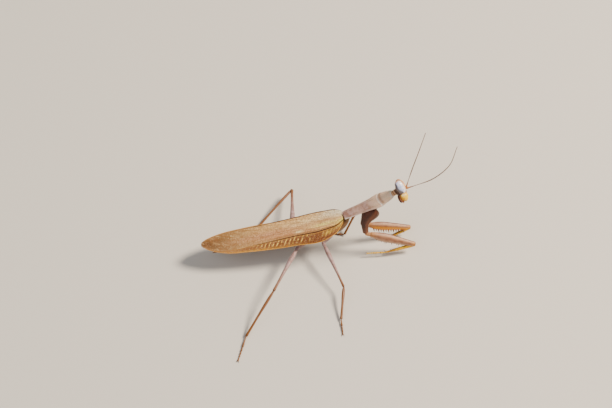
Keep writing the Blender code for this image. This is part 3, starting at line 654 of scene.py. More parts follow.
# %% Wing finish
RUNG_PITCH = 1.3  # from one cross-vein of the front strip to the next
RUNG_WANDER = 0.4  # how far a bar strays from its place, as a share of the pitch
STREAKS = (  # length and breadth of a mark, and the cloud values it starts and is full at
    (6.0, 0.26, 0.5, 0.68),  # dark streaks between the veins
    (4.0, 0.17, 0.54, 0.7),  # pale streaks
    (1.0, 0.7, 0.5, 0.66),  # rusty blotches
)
NET_CELL = (0.8, 0.42)  # twice the size of the real net's cells, which are too fine to show
FLECK_SIZE, CREAM_SIZE, GRAIN_SIZE = 0.55, 0.4, 0.1


def wing_finish(name):
    material, tree, shader, place = surface(
        name, IOR=1.45, Specular_IOR_Level=0.28, Coat_Weight=0.02, Coat_Roughness=0.45,
        Subsurface_Weight=0.1, Subsurface_Radius=(0.5 * MM, 0.3 * MM, 0.15 * MM), Subsurface_Scale=1.0)
    sheet = add(tree, "ShaderNodeUVMap", uv_map="veins")
    ground = add(tree, "ShaderNodeAttribute", attribute_name="ground").outputs["Color"]
    bars = add(tree, "ShaderNodeAttribute", attribute_name="bars").outputs["Fac"]
    drawn = []
    for length, breadth, low, high in STREAKS:
        stretched = add(tree, "ShaderNodeMapping", {"Vector": sheet, "Scale": (1 / length, 1 / breadth, 1)})
        cloud = add(tree, "ShaderNodeTexNoise", {"Vector": stretched, "Scale": 1.0, "Detail": 3.0})
        drawn.append(add(tree, "ShaderNodeMapRange", {"Value": cloud, "From Min": low, "From Max": high}))
    dark_streak, pale_streak, blotch = drawn
    cell = (1 / NET_CELL[0], 1 / NET_CELL[1], 1)
    cells = add(tree, "ShaderNodeMapping", {"Vector": sheet, "Scale": cell})
    net = add(tree, "ShaderNodeTexVoronoi", {"Vector": cells, "Scale": 1.0}, feature="DISTANCE_TO_EDGE")
    line = add(tree, "ShaderNodeMapRange", {"Value": net, "From Min": 0.02, "From Max": 0.14,
               "To Min": 1.0, "To Max": 0.0}, interpolation_type="SMOOTHSTEP")
    along = add(tree, "ShaderNodeSeparateXYZ", {0: sheet}).outputs["X"]
    wander = add(tree, "ShaderNodeTexNoise", {"Vector": sheet, "Scale": 0.7, "Detail": 2.0})
    wander = add(tree, "ShaderNodeMath", {0: wander, 1: RUNG_WANDER * RUNG_PITCH, 2: along},
                 operation="MULTIPLY_ADD")
    wave = add(tree, "ShaderNodeMath", {0: wander, 1: math.tau / RUNG_PITCH}, operation="MULTIPLY")
    wave = add(tree, "ShaderNodeMath", {0: wave}, operation="COSINE")
    bar = add(tree, "ShaderNodeMapRange", {"Value": wave, "From Min": 0.3, "From Max": 0.8},
              interpolation_type="SMOOTHSTEP")
    bar = add(tree, "ShaderNodeMath", {0: bar, 1: bars}, operation="MULTIPLY")
    bar = add(tree, "ShaderNodeMath", {0: bar, 1: marks(tree, place, 1.0, 0.4, 0.54)}, operation="MULTIPLY")
    skin = glaze(tree, ground, (dark_streak, 0.6, "8E5A24"), (pale_streak, 0.36, "F6D090"),
                 (blotch, 0.35, "A0683E"), (line, 0.36, "7A4C22"), (bar, 1.0, "FFD26A"),
                 (marks(tree, place, FLECK_SIZE, 0.5, 0.66), 0.4, "825024"),
                 (marks(tree, place, CREAM_SIZE, 0.55, 0.7), 0.3, "F4D29C"))
    rough = add(tree, "ShaderNodeMapRange", {"Value": dark_streak, "To Min": 0.54, "To Max": 0.68})
    netted = add(tree, "ShaderNodeBump", {"Height": line, "Strength": 0.6, "Distance": 0.03 * MM})
    grain = add(tree, "ShaderNodeTexNoise", {"Vector": place, "Scale": 1 / (GRAIN_SIZE * MM), "Detail": 2.0})
    fine = add(tree, "ShaderNodeBump", {"Height": grain, "Strength": 0.4, "Distance": 0.01 * MM,
               "Normal": netted})
    connect(tree, shader, {"Base Color": skin, "Roughness": rough, "Normal": fine})
    return material


wing_leather = wing_finish("wing_leather")
# Veins are horn: smoother than the wing between them, so each catches a thin line of light.
tan_vein = cuticle("tan_vein", "A07238", "8C5E2C", "C99E62", "6E4420", relief=0.2)
dark_vein = cuticle("dark_vein", "4E2C16", "3E2010", "A87848", "2A160C", relief=0.2)
golden_vein = cuticle("golden_vein", "DCA034", "CE8E26", "E8C878", "9A6420", relief=0.2)
print("wing finish:", len(wing_leather.node_tree.nodes), "nodes")

# %% Both forewings
WINGS = ((RIGHT, 0.0), (LEFT, 0.6))  # each wing, and how far it lies below the top of the back
for side, drop in WINGS:
    settle(wing(side, drop), "wing_brown", "tegmen_" + SIDE[side])

# %% [markdown]
# Veins are hollow tubes that stiffen the wing. The long ones leave the root together and spread to the
# edge; short slanting ones cross the front strip like rungs, and a golden one follows the front edge.
# Each is a line of points on the wing's own surface, and the vein tree makes the tubes. The lines are
# shares of length and breadth, so they stay on the wing whatever its size.

# %% Routes of the veins
FAN_ENDS = [(t, 0.012) for t in (0.1, 0.17, 0.24, 0.31, 0.39, 0.47, 0.55, 0.63, 0.71, 0.79, 0.87)]
FAN_ENDS += [(0.97, q) for q in (0.08, 0.2, 0.34, 0.5)]
MAIN_VEIN, SIDE_VEIN, RUNG_VEIN = 0.11, 0.085, 0.07  # thickness at the root
RADIAL_END = 0.62  # the radial vein is thick and dark as far as here, then thin
FIRST_RUNG, LAST_RUNG = 1.6, 30.0  # the cross-veins lie between these distances from the root


def straight(first, last, q_first, q_last, thick):
    """One route from a place on the wing to another."""
    middle = (0.5 * (first + last), 0.5 * (q_first + q_last))
    return [(((first, q_first), middle, (last, q_last)), thick)]


def fan_routes():
    """The radial vein's outer half, and one vein for each place where a vein meets the wing's edge."""
    routes = [(((0.58, VEIN), (0.78, VEIN), (0.985, VEIN)), 0.12)]
    for k, (t_end, q_end) in enumerate(FAN_ENDS):
        value = float(fan(t_end, q_end))
        t = np.linspace(0.015 + 0.03 * (k % 3), t_end, 12)
        routes.append((list(zip(t, across_fan(t, value))), MAIN_VEIN if k % 3 == 0 else SIDE_VEIN))
    return routes


def rungs():
    """The slanting cross-veins of the front strip, one in each pale bar."""
    routes = []
    for k in range(math.ceil(FIRST_RUNG / RUNG_PITCH), int(LAST_RUNG / RUNG_PITCH)):
        t = k * RUNG_PITCH / TEGMEN_LENGTH
        stops = ((t, VEIN + 0.03), (t + 0.5 * STRIP_SLANT, VEIN + 0.17), (t + STRIP_SLANT, 0.985))
        routes.append((stops, RUNG_VEIN))
    return routes


print("veins on each wing:", len(fan_routes()), "in the fan and", len(rungs()), "across the strip")

# %% Veins on both wings
VEIN_TAPER = 0.55  # the share of its thickness that a vein loses on its way


def vein_lines(side, drop, routes, lift, count):
    """Points, edges and thickness for many routes over a wing."""
    points, edges, girth = [], [], []
    for stops, thick in routes:
        s = np.linspace(0, 1, count)
        line = Path([(t, q, 0) for t, q in stops]).at(s)
        spots = wing_points(side, drop, np.clip(line[:, 0], 0, 1), np.clip(line[:, 1], 0, 1))
        spots[:, 2] += lift
        start = len(girth)
        points += spots.tolist()
        edges += [(start + k, start + k + 1) for k in range(count - 1)]
        girth += list(thick * (1 - VEIN_TAPER * s))
    return points, edges, girth


VEIN_SETS = (  # name, routes, lift above the wing, points on each line, finish
    ("fan_veins", fan_routes(), 0.0, 60, tan_vein),
    ("radial_vein", straight(0.0, RADIAL_END, VEIN, VEIN, 0.34), 0.03, 100, dark_vein),
    ("second_vein", straight(0.02, 0.86, VEIN + 0.045, VEIN + 0.02, 0.13), 0.02, 140, golden_vein),
    ("cross_veins", rungs(), 0.0, 16, golden_vein),
    ("front_edge", straight(0.002, 0.985, 0.993, 0.993, 0.24), 0.0, 160, golden_vein),
)
for side, drop in WINGS:
    for name, routes, lift, count, finish in VEIN_SETS:
        points, edges, girth = vein_lines(side, drop, routes, lift, count)
        made = grow(name + "_" + SIDE[side], veins, points, edges, {"girth": girth}, Finish=finish)
        settle(made, "wing_brown")

# %% [markdown]
# ## The hindwings
#
# The hindwings are fans, folded away under the forewings, so only their edges ever show. A real fan
# has dozens of pleats. One sheet whose rows rise and fall across its width gives the same look, and
# stays a single closed shell. Its finish is a smoky brown, so what shows of it reads as shade.

# %% Hindwings
HINDWING_LENGTH, HINDWING_HALF_WIDTH, HINDWING_SHELL = 40.0, 3.0, 0.2
HINDWING_DROP, HINDWING_ROOT = 1.32, 1.5  # below the top of the back, and behind the forewings' roots
PLEATS, PLEAT_HEIGHT = 10, 0.1
smoky_membrane = cuticle("smoky_membrane", "9C8468", "86705A", "B09878", "5A4632")


def hindwing_fan(rows=90, columns=61):
    tt, ss = np.meshgrid(np.linspace(0, 1, rows), np.linspace(-1, 1, columns), indexing="ij")
    x = WING_ROOT_X - HINDWING_ROOT - HINDWING_LENGTH * tt
    y = HINDWING_HALF_WIDTH * np.minimum(1, 0.6 + 3 * tt) * tip_rounding(tt) * ss
    pleat = PLEAT_HEIGHT * np.abs(((ss * PLEATS) % 2) - 1)
    z = back_height(x) - HINDWING_DROP - WING_ARCH * (y / ARCH_REACH) ** 2 + pleat
    top = np.stack([x, y, z], axis=-1)
    return shell(top, top - (0, 0, HINDWING_SHELL)).make("hindwing_fan", smoky_membrane)


settle(hindwing_fan(), "hindwing_smoke", "hindwings")

# %% [markdown]
# ## The trunk
#
# The trunk has three parts. The abdomen is soft between hard rings, so its outline steps at each ring.
# The thorax behind the wings' roots is a short strong box that carries four legs. The long prothorax
# in front carries the forelegs: it has a keel on its back, flanges down its sides, and a curved groove
# across its widest place. All three are lofted bodies whose outline a small function shapes.

# %% Abdomen
WING_STACK = 1.95  # what the folded wings take up, down from the top of the back
ABDOMEN_FRONT_X, ABDOMEN_TIP_X, RINGS = -0.75, -26.5, 8
ABDOMEN_WIDTH = ((0, 5.4), (0.3, 6.2), (0.6, 5.8), (0.85, 4.0), (1, 1.6))
ABDOMEN_HEIGHT = ((0, 4.4), (0.3, 4.6), (0.6, 4.0), (0.85, 2.6), (1, 1.3))
abdomen_line = []
for share in np.linspace(0, 1, 7):
    spot_x = ABDOMEN_FRONT_X + (ABDOMEN_TIP_X - ABDOMEN_FRONT_X) * share
    half_height = 0.5 * float(curve(ABDOMEN_HEIGHT, share))
    abdomen_line.append((spot_x, 0, back_height(spot_x) - WING_STACK - half_height))


def ring_form(t, angle):
    """Each ring grows a little towards its rear edge and overlaps the next."""
    place = (t * RINGS) % 1.0
    fold = bump(0, 0.28, angle) + bump(math.pi, 0.28, angle) + bump(math.tau, 0.28, angle)
    return 0.96 + 0.045 * place - 0.05 * step(0.93, 1.0, place) - 0.05 * fold * step(0.02, 0.1, t)


def ring_shade(t, angle):
    """Dark on both sides of each seam."""
    place = (t * RINGS) % 1.0
    return 0.75 * (step(0.88, 0.97, place) + step(0.06, 0.0, place)) * step(0.05, 0.1, t)


abdomen = Shape().body(abdomen_line, ABDOMEN_WIDTH, ABDOMEN_HEIGHT, (0, 1, 0), rings=200, sides=48,
                       form=ring_form, shade=ring_shade)
settle(abdomen.make("abdomen_rings", shaded_belly_cuticle), "cuticle_brown", "abdomen")

# %% Tail feelers
CERCUS_SIZE = ((0, 0.5), (0.3, 0.7), (1, 0.22))
CERCUS_RINGS = 22
abdomen_tip = np.array(abdomen_line[-1])


def cercus_seam(t, angle):
    """1 at each seam between two rings of a tail feeler, 0 elsewhere."""
    return np.cos(math.pi * CERCUS_RINGS * t) ** 8


for side in (RIGHT, LEFT):
    root = abdomen_tip + (0.2, side * 0.95, 0)
    line = (root, root + (-1.8, side * 0.8, -0.1), root + (-3.6, side * 1.3, 0.1))
    tail = Shape().body(line, CERCUS_SIZE, CERCUS_SIZE, (0, 1, 0), rings=90, sides=14,
                        form=lambda t, a: 1 - 0.16 * cercus_seam(t, a),
                        shade=lambda t, a: 0.4 * cercus_seam(t, a))
    settle(tail.make("tail_feeler_" + SIDE[side], shaded_belly_cuticle), "cuticle_brown", "cercus_" + SIDE[side])

# %% Thorax
THORAX_LINE = ((-1.5, 0, 9.2), (4, 0, 10.1), (8.5, 0, 11.0), (11.2, 0, 12.5), (13.9, 0, 15.9))
THORAX_WIDTH = ((0, 5.2), (0.3, 6.0), (0.6, 5.8), (0.85, 4.0), (1, 2.0))
THORAX_DEPTH = ((0, 4.2), (0.3, 4.9), (0.6, 4.8), (0.85, 3.4), (1, 1.4))


def thorax_form(t, angle):
    """Seams run round the thorax and down its flanks, and a furrow along its belly."""
    seam = bump(0.44 + 0.05 * np.cos(2 * angle), 0.012, t) + bump(0.7 + 0.04 * np.sin(angle), 0.012, t)
    pleura = bump(0.2 + 0.06 * np.cos(3 * angle), 0.01, t) + bump(0.57 - 0.05 * np.cos(3 * angle), 0.01, t)
    midline = bump(1.5 * math.pi, 0.07, angle) * step(0.1, 0.2, t) * step(0.95, 0.8, t)
    return 1 - 0.06 * seam - 0.035 * pleura - 0.05 * midline


def thorax_shade(t, angle):
    return np.clip((1 - thorax_form(t, angle)) * 12, 0, 0.7)


# The thorax's darkened brown is partly painted shade, for its place under the wings.
thorax = Shape().body(THORAX_LINE, THORAX_WIDTH, THORAX_DEPTH, (0, 1, 0), rings=150, sides=56,
                      form=thorax_form, shade=thorax_shade)
settle(thorax.make("thorax_plates", shaded_belly_cuticle), "cuticle_brown", "pterothorax")

# %% Form of the prothorax
PROTHORAX_LENGTH, PROTHORAX_PITCH = 17.8, math.radians(29.5)
PROTHORAX_REAR = np.array((12.25, 0, 15.95))
PRONOTUM_WIDTH = ((0, 3.1), (0.1, 3.3), (0.3, 3.5), (0.52, 4.0), (0.72, 4.95), (0.88, 3.9), (1, 2.7))
PRONOTUM_DEPTH = ((0, 2.2), (0.1, 2.4), (0.3, 2.9), (0.52, 3.3), (0.72, 3.5), (0.88, 2.9), (1, 2.0))
forward = np.array((math.cos(PROTHORAX_PITCH), 0, math.sin(PROTHORAX_PITCH)))
prothorax_front = PROTHORAX_REAR + PROTHORAX_LENGTH * forward
prothorax_line = Path(between(PROTHORAX_REAR, prothorax_front, (0.15, 0, -0.3)))


def from_edge(angle):
    """0 at the two side flanges, 1 on the midlines of back and belly."""
    return np.abs(np.sin(angle))


def from_groove(t, angle):
    """How far ahead of the curved groove a place lies. The groove's two ends run forwards."""
    return t - 0.725 - 0.035 * np.abs(np.cos(angle)) ** 2


def shield_form(t, angle):
    """A keel along the back, a flange down each side, a dip inside each flange, and the groove."""
    back = np.sin(angle) > 0
    keel = bump(math.pi / 2, 0.13, angle) * (0.05 + 0.03 * step(0.72, 0.6, t))
    flange = np.exp(-((from_edge(angle) / 0.16) ** 2)) * 0.075
    dip = -0.05 * np.exp(-(((from_edge(angle) - 0.38) / 0.2) ** 2)) * back
    groove = -0.08 * bump(0, 0.011, from_groove(t, angle)) * back
    under = np.where(back, 0, -0.1 * step(0.0, 0.5, from_edge(angle)))
    return 1 + keel * back + flange + dip + groove + under


print("the shield rises from", PROTHORAX_REAR, "to", np.round(prothorax_front, 1))


# %% The shield
def shield_pale(t, angle):
    """The groove, the front rim, the side flanges and the rear corners are pale."""
    edge = np.exp(-((from_edge(angle) / 0.14) ** 2)) * (0.3 + 0.65 * bump(0.08, 0.16, t))
    rear = 0.7 * bump(0.02, 0.06, t) * np.exp(-((from_edge(angle) / 0.4) ** 2))
    groove = (0.55 + 0.4 * np.abs(np.cos(angle))) * bump(0, 0.013, from_groove(t, angle))
    return np.clip(groove * (np.sin(angle) > 0) + 0.95 * bump(0.985, 0.018, t) + edge + rear, 0, 1)


def shield_tint(t, angle):
    """The widest part and the front are yellower than the rear."""
    return 0.8 * step(0.42, 0.72, t) + 0.2 * step(0.78, 0.9, t) + 0.2 * bump(0.3, 0.12, t)


def shield_shade(t, angle):
    """A brown patch ahead of the groove, a streak along each flank, a dark belly and a dark keel."""
    back = np.sin(angle) > 0
    ahead = from_groove(t, angle)
    patch = 0.6 * bump(0.045, 0.028, ahead) + 0.2 * bump(-0.03, 0.01, ahead)
    patch = patch * step(0.1, 0.45, np.sin(angle))
    streak = 0.3 * bump(0.42, 0.1, from_edge(angle)) * bump(0.52, 0.15, t)
    return np.clip((patch + streak) * back + 0.25 * step(0.0, 0.5, -np.sin(angle))
                   + 0.35 * bump(math.pi / 2, 0.06, angle) * step(0.7, 0.6, t), 0, 1)


prothorax = Shape().body(prothorax_line, PRONOTUM_WIDTH, PRONOTUM_DEPTH, (0, 1, 0), rings=220, sides=96,
                         form=shield_form, pale=shield_pale, tint=shield_tint, shade=shield_shade,
                         ends=(0.35, 0.35))
settle(prothorax.make("back_shield", mauve_cuticle), "cuticle_mauve", "pronotum")

# %% Teeth along the shield's edges
TEETH, TOOTH_LENGTH, TOOTH_THICKNESS = 44, 0.16, 0.14
spots, aims = [], []
for side in (RIGHT, LEFT):
    for t in np.linspace(0.05, 0.95, TEETH):
        flange_edge = 0.5 * float(curve(PRONOTUM_WIDTH, t)) * float(shield_form(t, 0.0))
        spots.append(prothorax_line.at(t) + (0, side * (flange_edge - 0.03), 0))
        aims.append(unit((0.35, side, 0.1)))
tooth_values = {"aim": aims, "lean": [forward] * len(spots), "long": [TOOTH_LENGTH] * len(spots),
                "girth": [TOOTH_THICKNESS] * len(spots)}
teeth = grow("shield_teeth", thorns, spots, values=tooth_values, Bend=0.1, Dark=0.2, Finish=mauve_cuticle)
settle(teeth, "cuticle_mauve")

# %% [markdown]
# ## The head
#
# A mantis's head is a triangle with an eye at each upper corner and the jaws at the lower one, and it
# turns freely on a thin neck. Box modelling would give clean loops, but the head is a handful of
# bulges that melt into one another. So the bulges are placed as rounded bodies, fused by a voxel
# remesh, and smoothed, as clay would be. It is drawn in its own frame (out of the face, to its left,
# up to the crown) and then turned into place.

# %% The head's frame
HEAD_CENTRE = Vector((30.25, 0.1, 26.9))
HEAD_YAW, HEAD_PITCH, HEAD_ROLL = math.radians(3), math.radians(-15), math.radians(-50)
HEAD_TURN = (Matrix.Rotation(HEAD_YAW, 4, "Z") @ Matrix.Rotation(HEAD_PITCH, 4, "Y")
             @ Matrix.Rotation(HEAD_ROLL, 4, "X"))
HEAD_FRAME = np.array(Matrix.Translation(HEAD_CENTRE) @ HEAD_TURN)
EYE_CENTRE, EYE_RADII = np.array((-0.05, 2.7, 0.65)), np.array((1.4, 1.2, 2.32))
EYE_LEAN, EYE_TIP = math.radians(12), math.radians(-15)
ANTENNA_ROOT = np.array((1.4, 0.95, -0.4))


def face(points):
    """Points of the head's own frame, as places in the model."""
    points = np.atleast_2d(np.asarray(points, dtype=float))
    return points @ HEAD_FRAME[:3, :3].T + HEAD_FRAME[:3, 3]


class HeadShape(Shape):
    """A Shape drawn in the head's frame."""

    def make(self, name, *finishes):
        self.points = [face(rows) for rows in self.points]
        return super().make(name, *finishes)

    def ball(self, centre, radii, rings=24, sides=32, lean=np.eye(3), **values):
        """A closed ball with three half sizes, turned by lean."""
        half = np.array(radii, dtype=float)
        phi = np.linspace(0, math.pi, rings)
        theta = np.arange(sides) * math.tau / sides
        pp, hh = np.meshgrid(phi, theta, indexing="ij")
        grid = np.stack([half[0] * np.sin(pp) * np.cos(hh), half[1] * np.sin(pp) * np.sin(hh),
                         -half[2] * np.cos(pp)], axis=-1)[1:-1]
        points = np.concatenate([grid.reshape(-1, 3), [(0, 0, -half[2])], [(0, 0, half[2])]])
        return self.add(points @ lean.T + np.array(centre), tube_faces(rings - 2, sides), **values)


def eye_lean(side):
    """How each eye is turned in the head: tipped back, and its top leaning outwards."""
    return np.array(Matrix.Rotation(EYE_TIP, 3, "Y") @ Matrix.Rotation(-side * EYE_LEAN, 3, "X"))


def stain(piece, **rules):
    """Keeps values at a piece's vertices, each a rule of the place in the head's frame."""
    mesh = piece.data
    spots = np.zeros(3 * len(mesh.vertices))
    mesh.vertices.foreach_get("co", spots)
    spots = (spots.reshape(-1, 3) - np.array(ORIGIN)) / MM
    x, y, z = ((spots - HEAD_FRAME[:3, 3]) @ HEAD_FRAME[:3, :3]).T
    for key, rule in rules.items():
        mesh.attributes.new(key, "FLOAT", "POINT").data.foreach_set("value", np.clip(rule(x, y, z), 0, 1))
    return piece


print("the right eye's centre:", np.round(face(EYE_CENTRE * (1, RIGHT, 1))[0], 1))


# %% Melting clay
HEAD_VOXEL, JAW_VOXEL = 0.08, 0.07


def fuse(piece, voxel, smooth):
    """Melts the closed bodies of a mesh into one skin. The work is done in millimetres."""
    piece.data.transform(Matrix.Scale(1 / MM, 4))
    remesh = piece.modifiers.new("fuse", "REMESH")
    remesh.mode, remesh.voxel_size, remesh.use_smooth_shade = "VOXEL", voxel, True
    soften = piece.modifiers.new("soften", "SMOOTH")
    soften.factor, soften.iterations = 0.5, smooth
    bpy.context.view_layer.update()
    mesh = bpy.data.meshes.new_from_object(piece.evaluated_get(bpy.context.evaluated_depsgraph_get()))
    piece.modifiers.clear()
    mesh.transform(Matrix.Scale(MM, 4))
    piece.data = mesh
    print(piece.name, "fused to", len(mesh.polygons), "faces")
    return piece


print("bulges are fused in voxels of", HEAD_VOXEL, "mm, and the jaws' in voxels of", JAW_VOXEL, "mm")

# %% Head capsule
HEAD_BULGES = (  # centre and half sizes
    ((-0.25, 0, 0.5), (1.5, 2.4, 1.75)),  # the cranium
    ((-0.2, 0, 1.5), (1.0, 1.9, 0.95)),  # the crown
    ((-0.75, 0, 0.1), (1.15, 1.75, 1.45)),  # the back of the head, above the neck
    ((-0.75, 0, -1.2), (1.1, 1.3, 1.25)),  # the back of the head, below the neck
    ((0.15, 0, -0.9), (1.2, 1.45, 1.3)),  # the face, narrowing to the jaws
    ((1.05, 0, -0.4), (0.35, 0.9, 0.4)),  # the shield between feelers and lip
    ((0.95, 0, -1.35), (0.45, 0.85, 0.65)),  # the plate above the lip
)
clay = HeadShape()
for centre, radii in HEAD_BULGES:
    clay.ball(centre, radii)
for side in (RIGHT, LEFT):
    clay.ball((-0.1, side * 2.05, 0.6), (1.36, 0.85, 2.14), lean=eye_lean(side))  # the eye's socket
    clay.ball((-0.4, side * 1.0, -1.15), (1.05, 0.65, 0.95))  # the cheek
    clay.ball(ANTENNA_ROOT * (0.78, side, 1), (0.5, 0.45, 0.45))  # the feeler's socket
capsule = fuse(clay.make("head_capsule", head_cuticle), HEAD_VOXEL, 5)


def eye_ring(x, y, z):
    """How near a place is to the rim of an eye: 1 at the seam, 0 a third of a millimetre away."""
    parts = [(a - b) / r for a, b, r in zip((x, np.abs(y), z), EYE_CENTRE, EYE_RADII)]
    return step(1.28, 1.04, np.sqrt(sum(part**2 for part in parts)))


def head_shade(x, y, z):
    """Painted shade darkens the head at the back, under the cheeks and behind the eyes; a dark line follows
    the crown's seam.
    """
    back, cheek = 0.85 * step(-0.5, -1.3, x), 0.75 * step(-0.9, -2.0, z) * step(0.5, -0.6, x)
    seam = 0.5 * bump(0.0, 0.12, y) * step(0.9, 1.6, z)
    return back + cheek + seam + 0.7 * eye_ring(x, y, z) * step(0.5, -0.2, x)


# The shade here is painted shade on the faces turned from the key light, plus the crown's seam line.
stain(capsule, shade=head_shade,
      tint=lambda x, y, z: 0.6 * step(0.5, 1.2, x) * step(-1.8, -0.6, z) + 0.7 * step(1.7, 2.2, z),
      pale=lambda x, y, z: 0.5 * bump(-0.75, 0.12, z) * step(0.9, 1.2, x))
settle(capsule, "cuticle_mauve", "head")

# %% [markdown]
# ## Eyes
#
# Each compound eye is a smooth dome of thousands of tiny lenses. Its milky lavender is partly its own
# colour and partly painted sky reflection; the cream where the lenses face away, on its front, is painted
# light, and the dark seam where it meets the head and its dark rear rim are painted shade. The lenses are
# far too fine to model, so a cell pattern gives them a faint relief, and a value kept at each vertex says
# how near the seam it is. Three small bead-like eyes sit on the brow as well. The dome is clear at its
# surface and cloudy below, so it has a wet highlight over a soft, milky colour.


# %% Eye finish
LENS_SIZE = 0.06  # twice the width of a real lens, which is too fine to show


def eye_finish(name):
    material, tree, shader, place = surface(
        name, IOR=1.52, Roughness=0.24, Coat_Weight=0.25, Coat_Roughness=0.08, Subsurface_Weight=0.2,
        Subsurface_Radius=(0.5 * MM, 0.4 * MM, 0.4 * MM), Subsurface_Scale=1.0)
    tint, light, shade = (add(tree, "ShaderNodeAttribute", attribute_name=key).outputs["Fac"]
                          for key in ("tint", "pale", "shade"))
    # The lavender-white ground and its blue patches are partly the eye's own milky colour and partly painted
    # sky reflection; pale is painted light and shade is painted shade.
    skin = glaze(tree, colour("EAE8FA"), (marks(tree, place, 0.8, 0.4, 0.62), 1.0, "C6D2FC"),
                 (marks(tree, place, 0.45, 0.5, 0.66), 0.6, "E6D6DE"),
                 (marks(tree, place, 0.2, 0.58, 0.7), 0.4, "9E98C0"), (light, 1.0, "F8EEDF"),
                 (tint, 1.0, "DE9656"), (shade, 1.0, "341610"))
    lens = add(tree, "ShaderNodeTexVoronoi", {"Vector": place, "Scale": 1 / (LENS_SIZE * MM),
               "Randomness": 0.15})
    relief = add(tree, "ShaderNodeBump", {"Height": lens, "Strength": 0.25, "Distance": 0.008 * MM},
                 invert=True)
    connect(tree, shader, {"Base Color": skin, "Normal": relief})
    return material


compound_eye = eye_finish("compound_eye")
print("eye finish:", len(compound_eye.node_tree.nodes), "nodes")

# %% Both eyes and the brow's beads
BROW_BEADS = ((1.24, 0, 0.35), (1.16, 0.4, 0.74), (1.16, -0.4, 0.74))
for side in (RIGHT, LEFT):
    dome = HeadShape().ball((0, 0, 0), (1, 1, 1), rings=60, sides=90)
    sphere = dome.points[0]
    outward = sphere @ np.array((0.1, side * 0.98, 0.1))
    fore, high = sphere[:, 0], sphere[:, 2]
    # Painted shade: the dark seam where the eye meets the head, and the dark rear rim turned from the key
    # light.
    seam = step(0.02, -0.16, outward) * step(0.5, -0.3, fore)
    rear = step(0.95, 0.7, outward) * step(0.0, -0.35, fore + 0.3 * high)
    dome.values["shade"] = np.clip(0.55 * seam + 0.9 * rear, 0, 1)
    brim = 0.8 * step(0.3, -0.2, outward) + 0.85 * step(0.72, 1.0, high) + 0.6 * step(0.66, 0.92, fore)
    dome.values["tint"] = np.clip(brim, 0, 1)
    # Painted light: the pale cream on the eye's front, where the key light falls.
    dome.values["pale"] = 0.8 * step(0.1, 0.6, fore) * step(0.95, 0.4, outward)
    dome.points[0] = (sphere * EYE_RADII) @ eye_lean(side).T + EYE_CENTRE * (1, side, 1)
    settle(dome.make("eye_dome_" + SIDE[side], compound_eye), "eye_lavender", "eye_" + SIDE[side])
beads = HeadShape()
for centre in BROW_BEADS:
    beads.ball(centre, (0.2, 0.18, 0.18), rings=14, sides=18)
settle(beads.make("brow_beads", amber_cuticle), "mouth_amber")

# %% [markdown]
# ## The jaws
#
# Below the face hang the upper lip and the two jaws, yellow and glossy, and behind them a darker
# bundle of the lower jaws and lower lip with their small jointed palps. They could be cut from one
# ball, but each has its own bulge, so they are fused as the head is. The palps stay apart from them,
# as chains of short rounded bodies.

# %% Jaws
jaws = HeadShape()
jaws.ball((1.0, 0, -2.35), (0.42, 0.72, 0.85))  # the upper lip
for side in (RIGHT, LEFT):
    jaws.ball((0.05, side * 0.6, -2.6), (1.38, 1.0, 1.45))  # the jaw
    jaws.ball((0.3, side * 0.42, -3.5), (0.85, 0.55, 0.75))  # and its tip
jaws = fuse(jaws.make("jaws", amber_cuticle), JAW_VOXEL, 3)


def jaw_shade(x, y, z):
    """The jaws are dark behind and below, as painted shade, along the lip's two edges, and where they meet.
    """
    behind, below = 0.85 * step(-0.6, -1.05, x), 0.6 * step(0.1, -1.0, x + 0.6 * (z + 2.8))
    lip = 0.45 * bump(0.8, 0.07, np.abs(y)) * step(0.7, 0.95, x)
    return behind + below + lip + 0.6 * bump(0, 0.07, y) * step(-2.9, -3.1, z)


stain(jaws, shade=jaw_shade,
      # Painted highlight: the tint lays cream on the upper sides of the jaws.
      tint=lambda x, y, z: 0.7 * bump(-2.1, 0.45, z) * bump(0.1, 0.6, x) * step(0.5, 1.0, np.abs(y)))
settle(jaws, "mouth_amber", "mouthparts")

# %% Lower jaws
bundle = HeadShape()
bundle.ball((-1.35, 0, -2.7), (0.6, 0.85, 1.45))  # the lower lip
bundle.ball((-1.2, 0, -3.7), (0.5, 0.6, 0.7))  # and its tip
for side in (RIGHT, LEFT):
    bundle.ball((-0.75, side * 0.7, -2.85), (0.55, 0.4, 1.2))  # the lower jaw
    bundle.ball((-0.55, side * 0.55, -3.75), (0.42, 0.35, 0.6))  # and its tip
bundle = fuse(bundle.make("lower_jaws", maroon_cuticle), JAW_VOXEL, 3)
stain(bundle, tint=lambda x, y, z: 0.7 * step(-0.9, -0.3, x),
      shade=lambda x, y, z: 0.6 * step(-3.4, -4.2, z))
settle(bundle, "mouth_amber")

# %% Palps
PALPS = (  # joints from the root on, and thickness
    (((-1.2, 1.0, -2.6), (-1.15, 1.15, -3.4), (-0.75, 1.1, -4.1), (-0.3, 0.9, -4.45)), 0.22),
    (((-1.1, 0.5, -3.7), (-0.95, 0.6, -4.2), (-0.6, 0.5, -4.55)), 0.2),
)
# Palps are thin-walled and dry: plain reddish brown, between the jaws' amber and the maroon.
palp_cuticle = cuticle("palp_cuticle", "A8643A", "96562E", "C98A50", "5A2C1A")
palps = HeadShape()
for side in (RIGHT, LEFT):
    for joints, thick in PALPS:
        joints = [np.array(p) * (1, side, 1) for p in joints]
        size = ((0, 0.7 * thick), (0.8, thick), (1, 0.8 * thick))
        for a, b in zip(joints, joints[1:]):
            palps.body(between(a, b), size, size, (1, 0, 0), rings=10, sides=12,
                       shade=lambda t, angle: 0.6 * step(0.12, 0.0, t))
settle(palps.make("palps", palp_cuticle), "mouth_amber")

# %% [markdown]
# ## The feelers
#
# A feeler is a thread of about eighty rings on a thick first joint. Eighty separate pieces, or a
# chain of instances, would show the same thing for many more faces. So each feeler is one rounded
# body, and its rings are a ripple in the outline with a dark line in each dip.

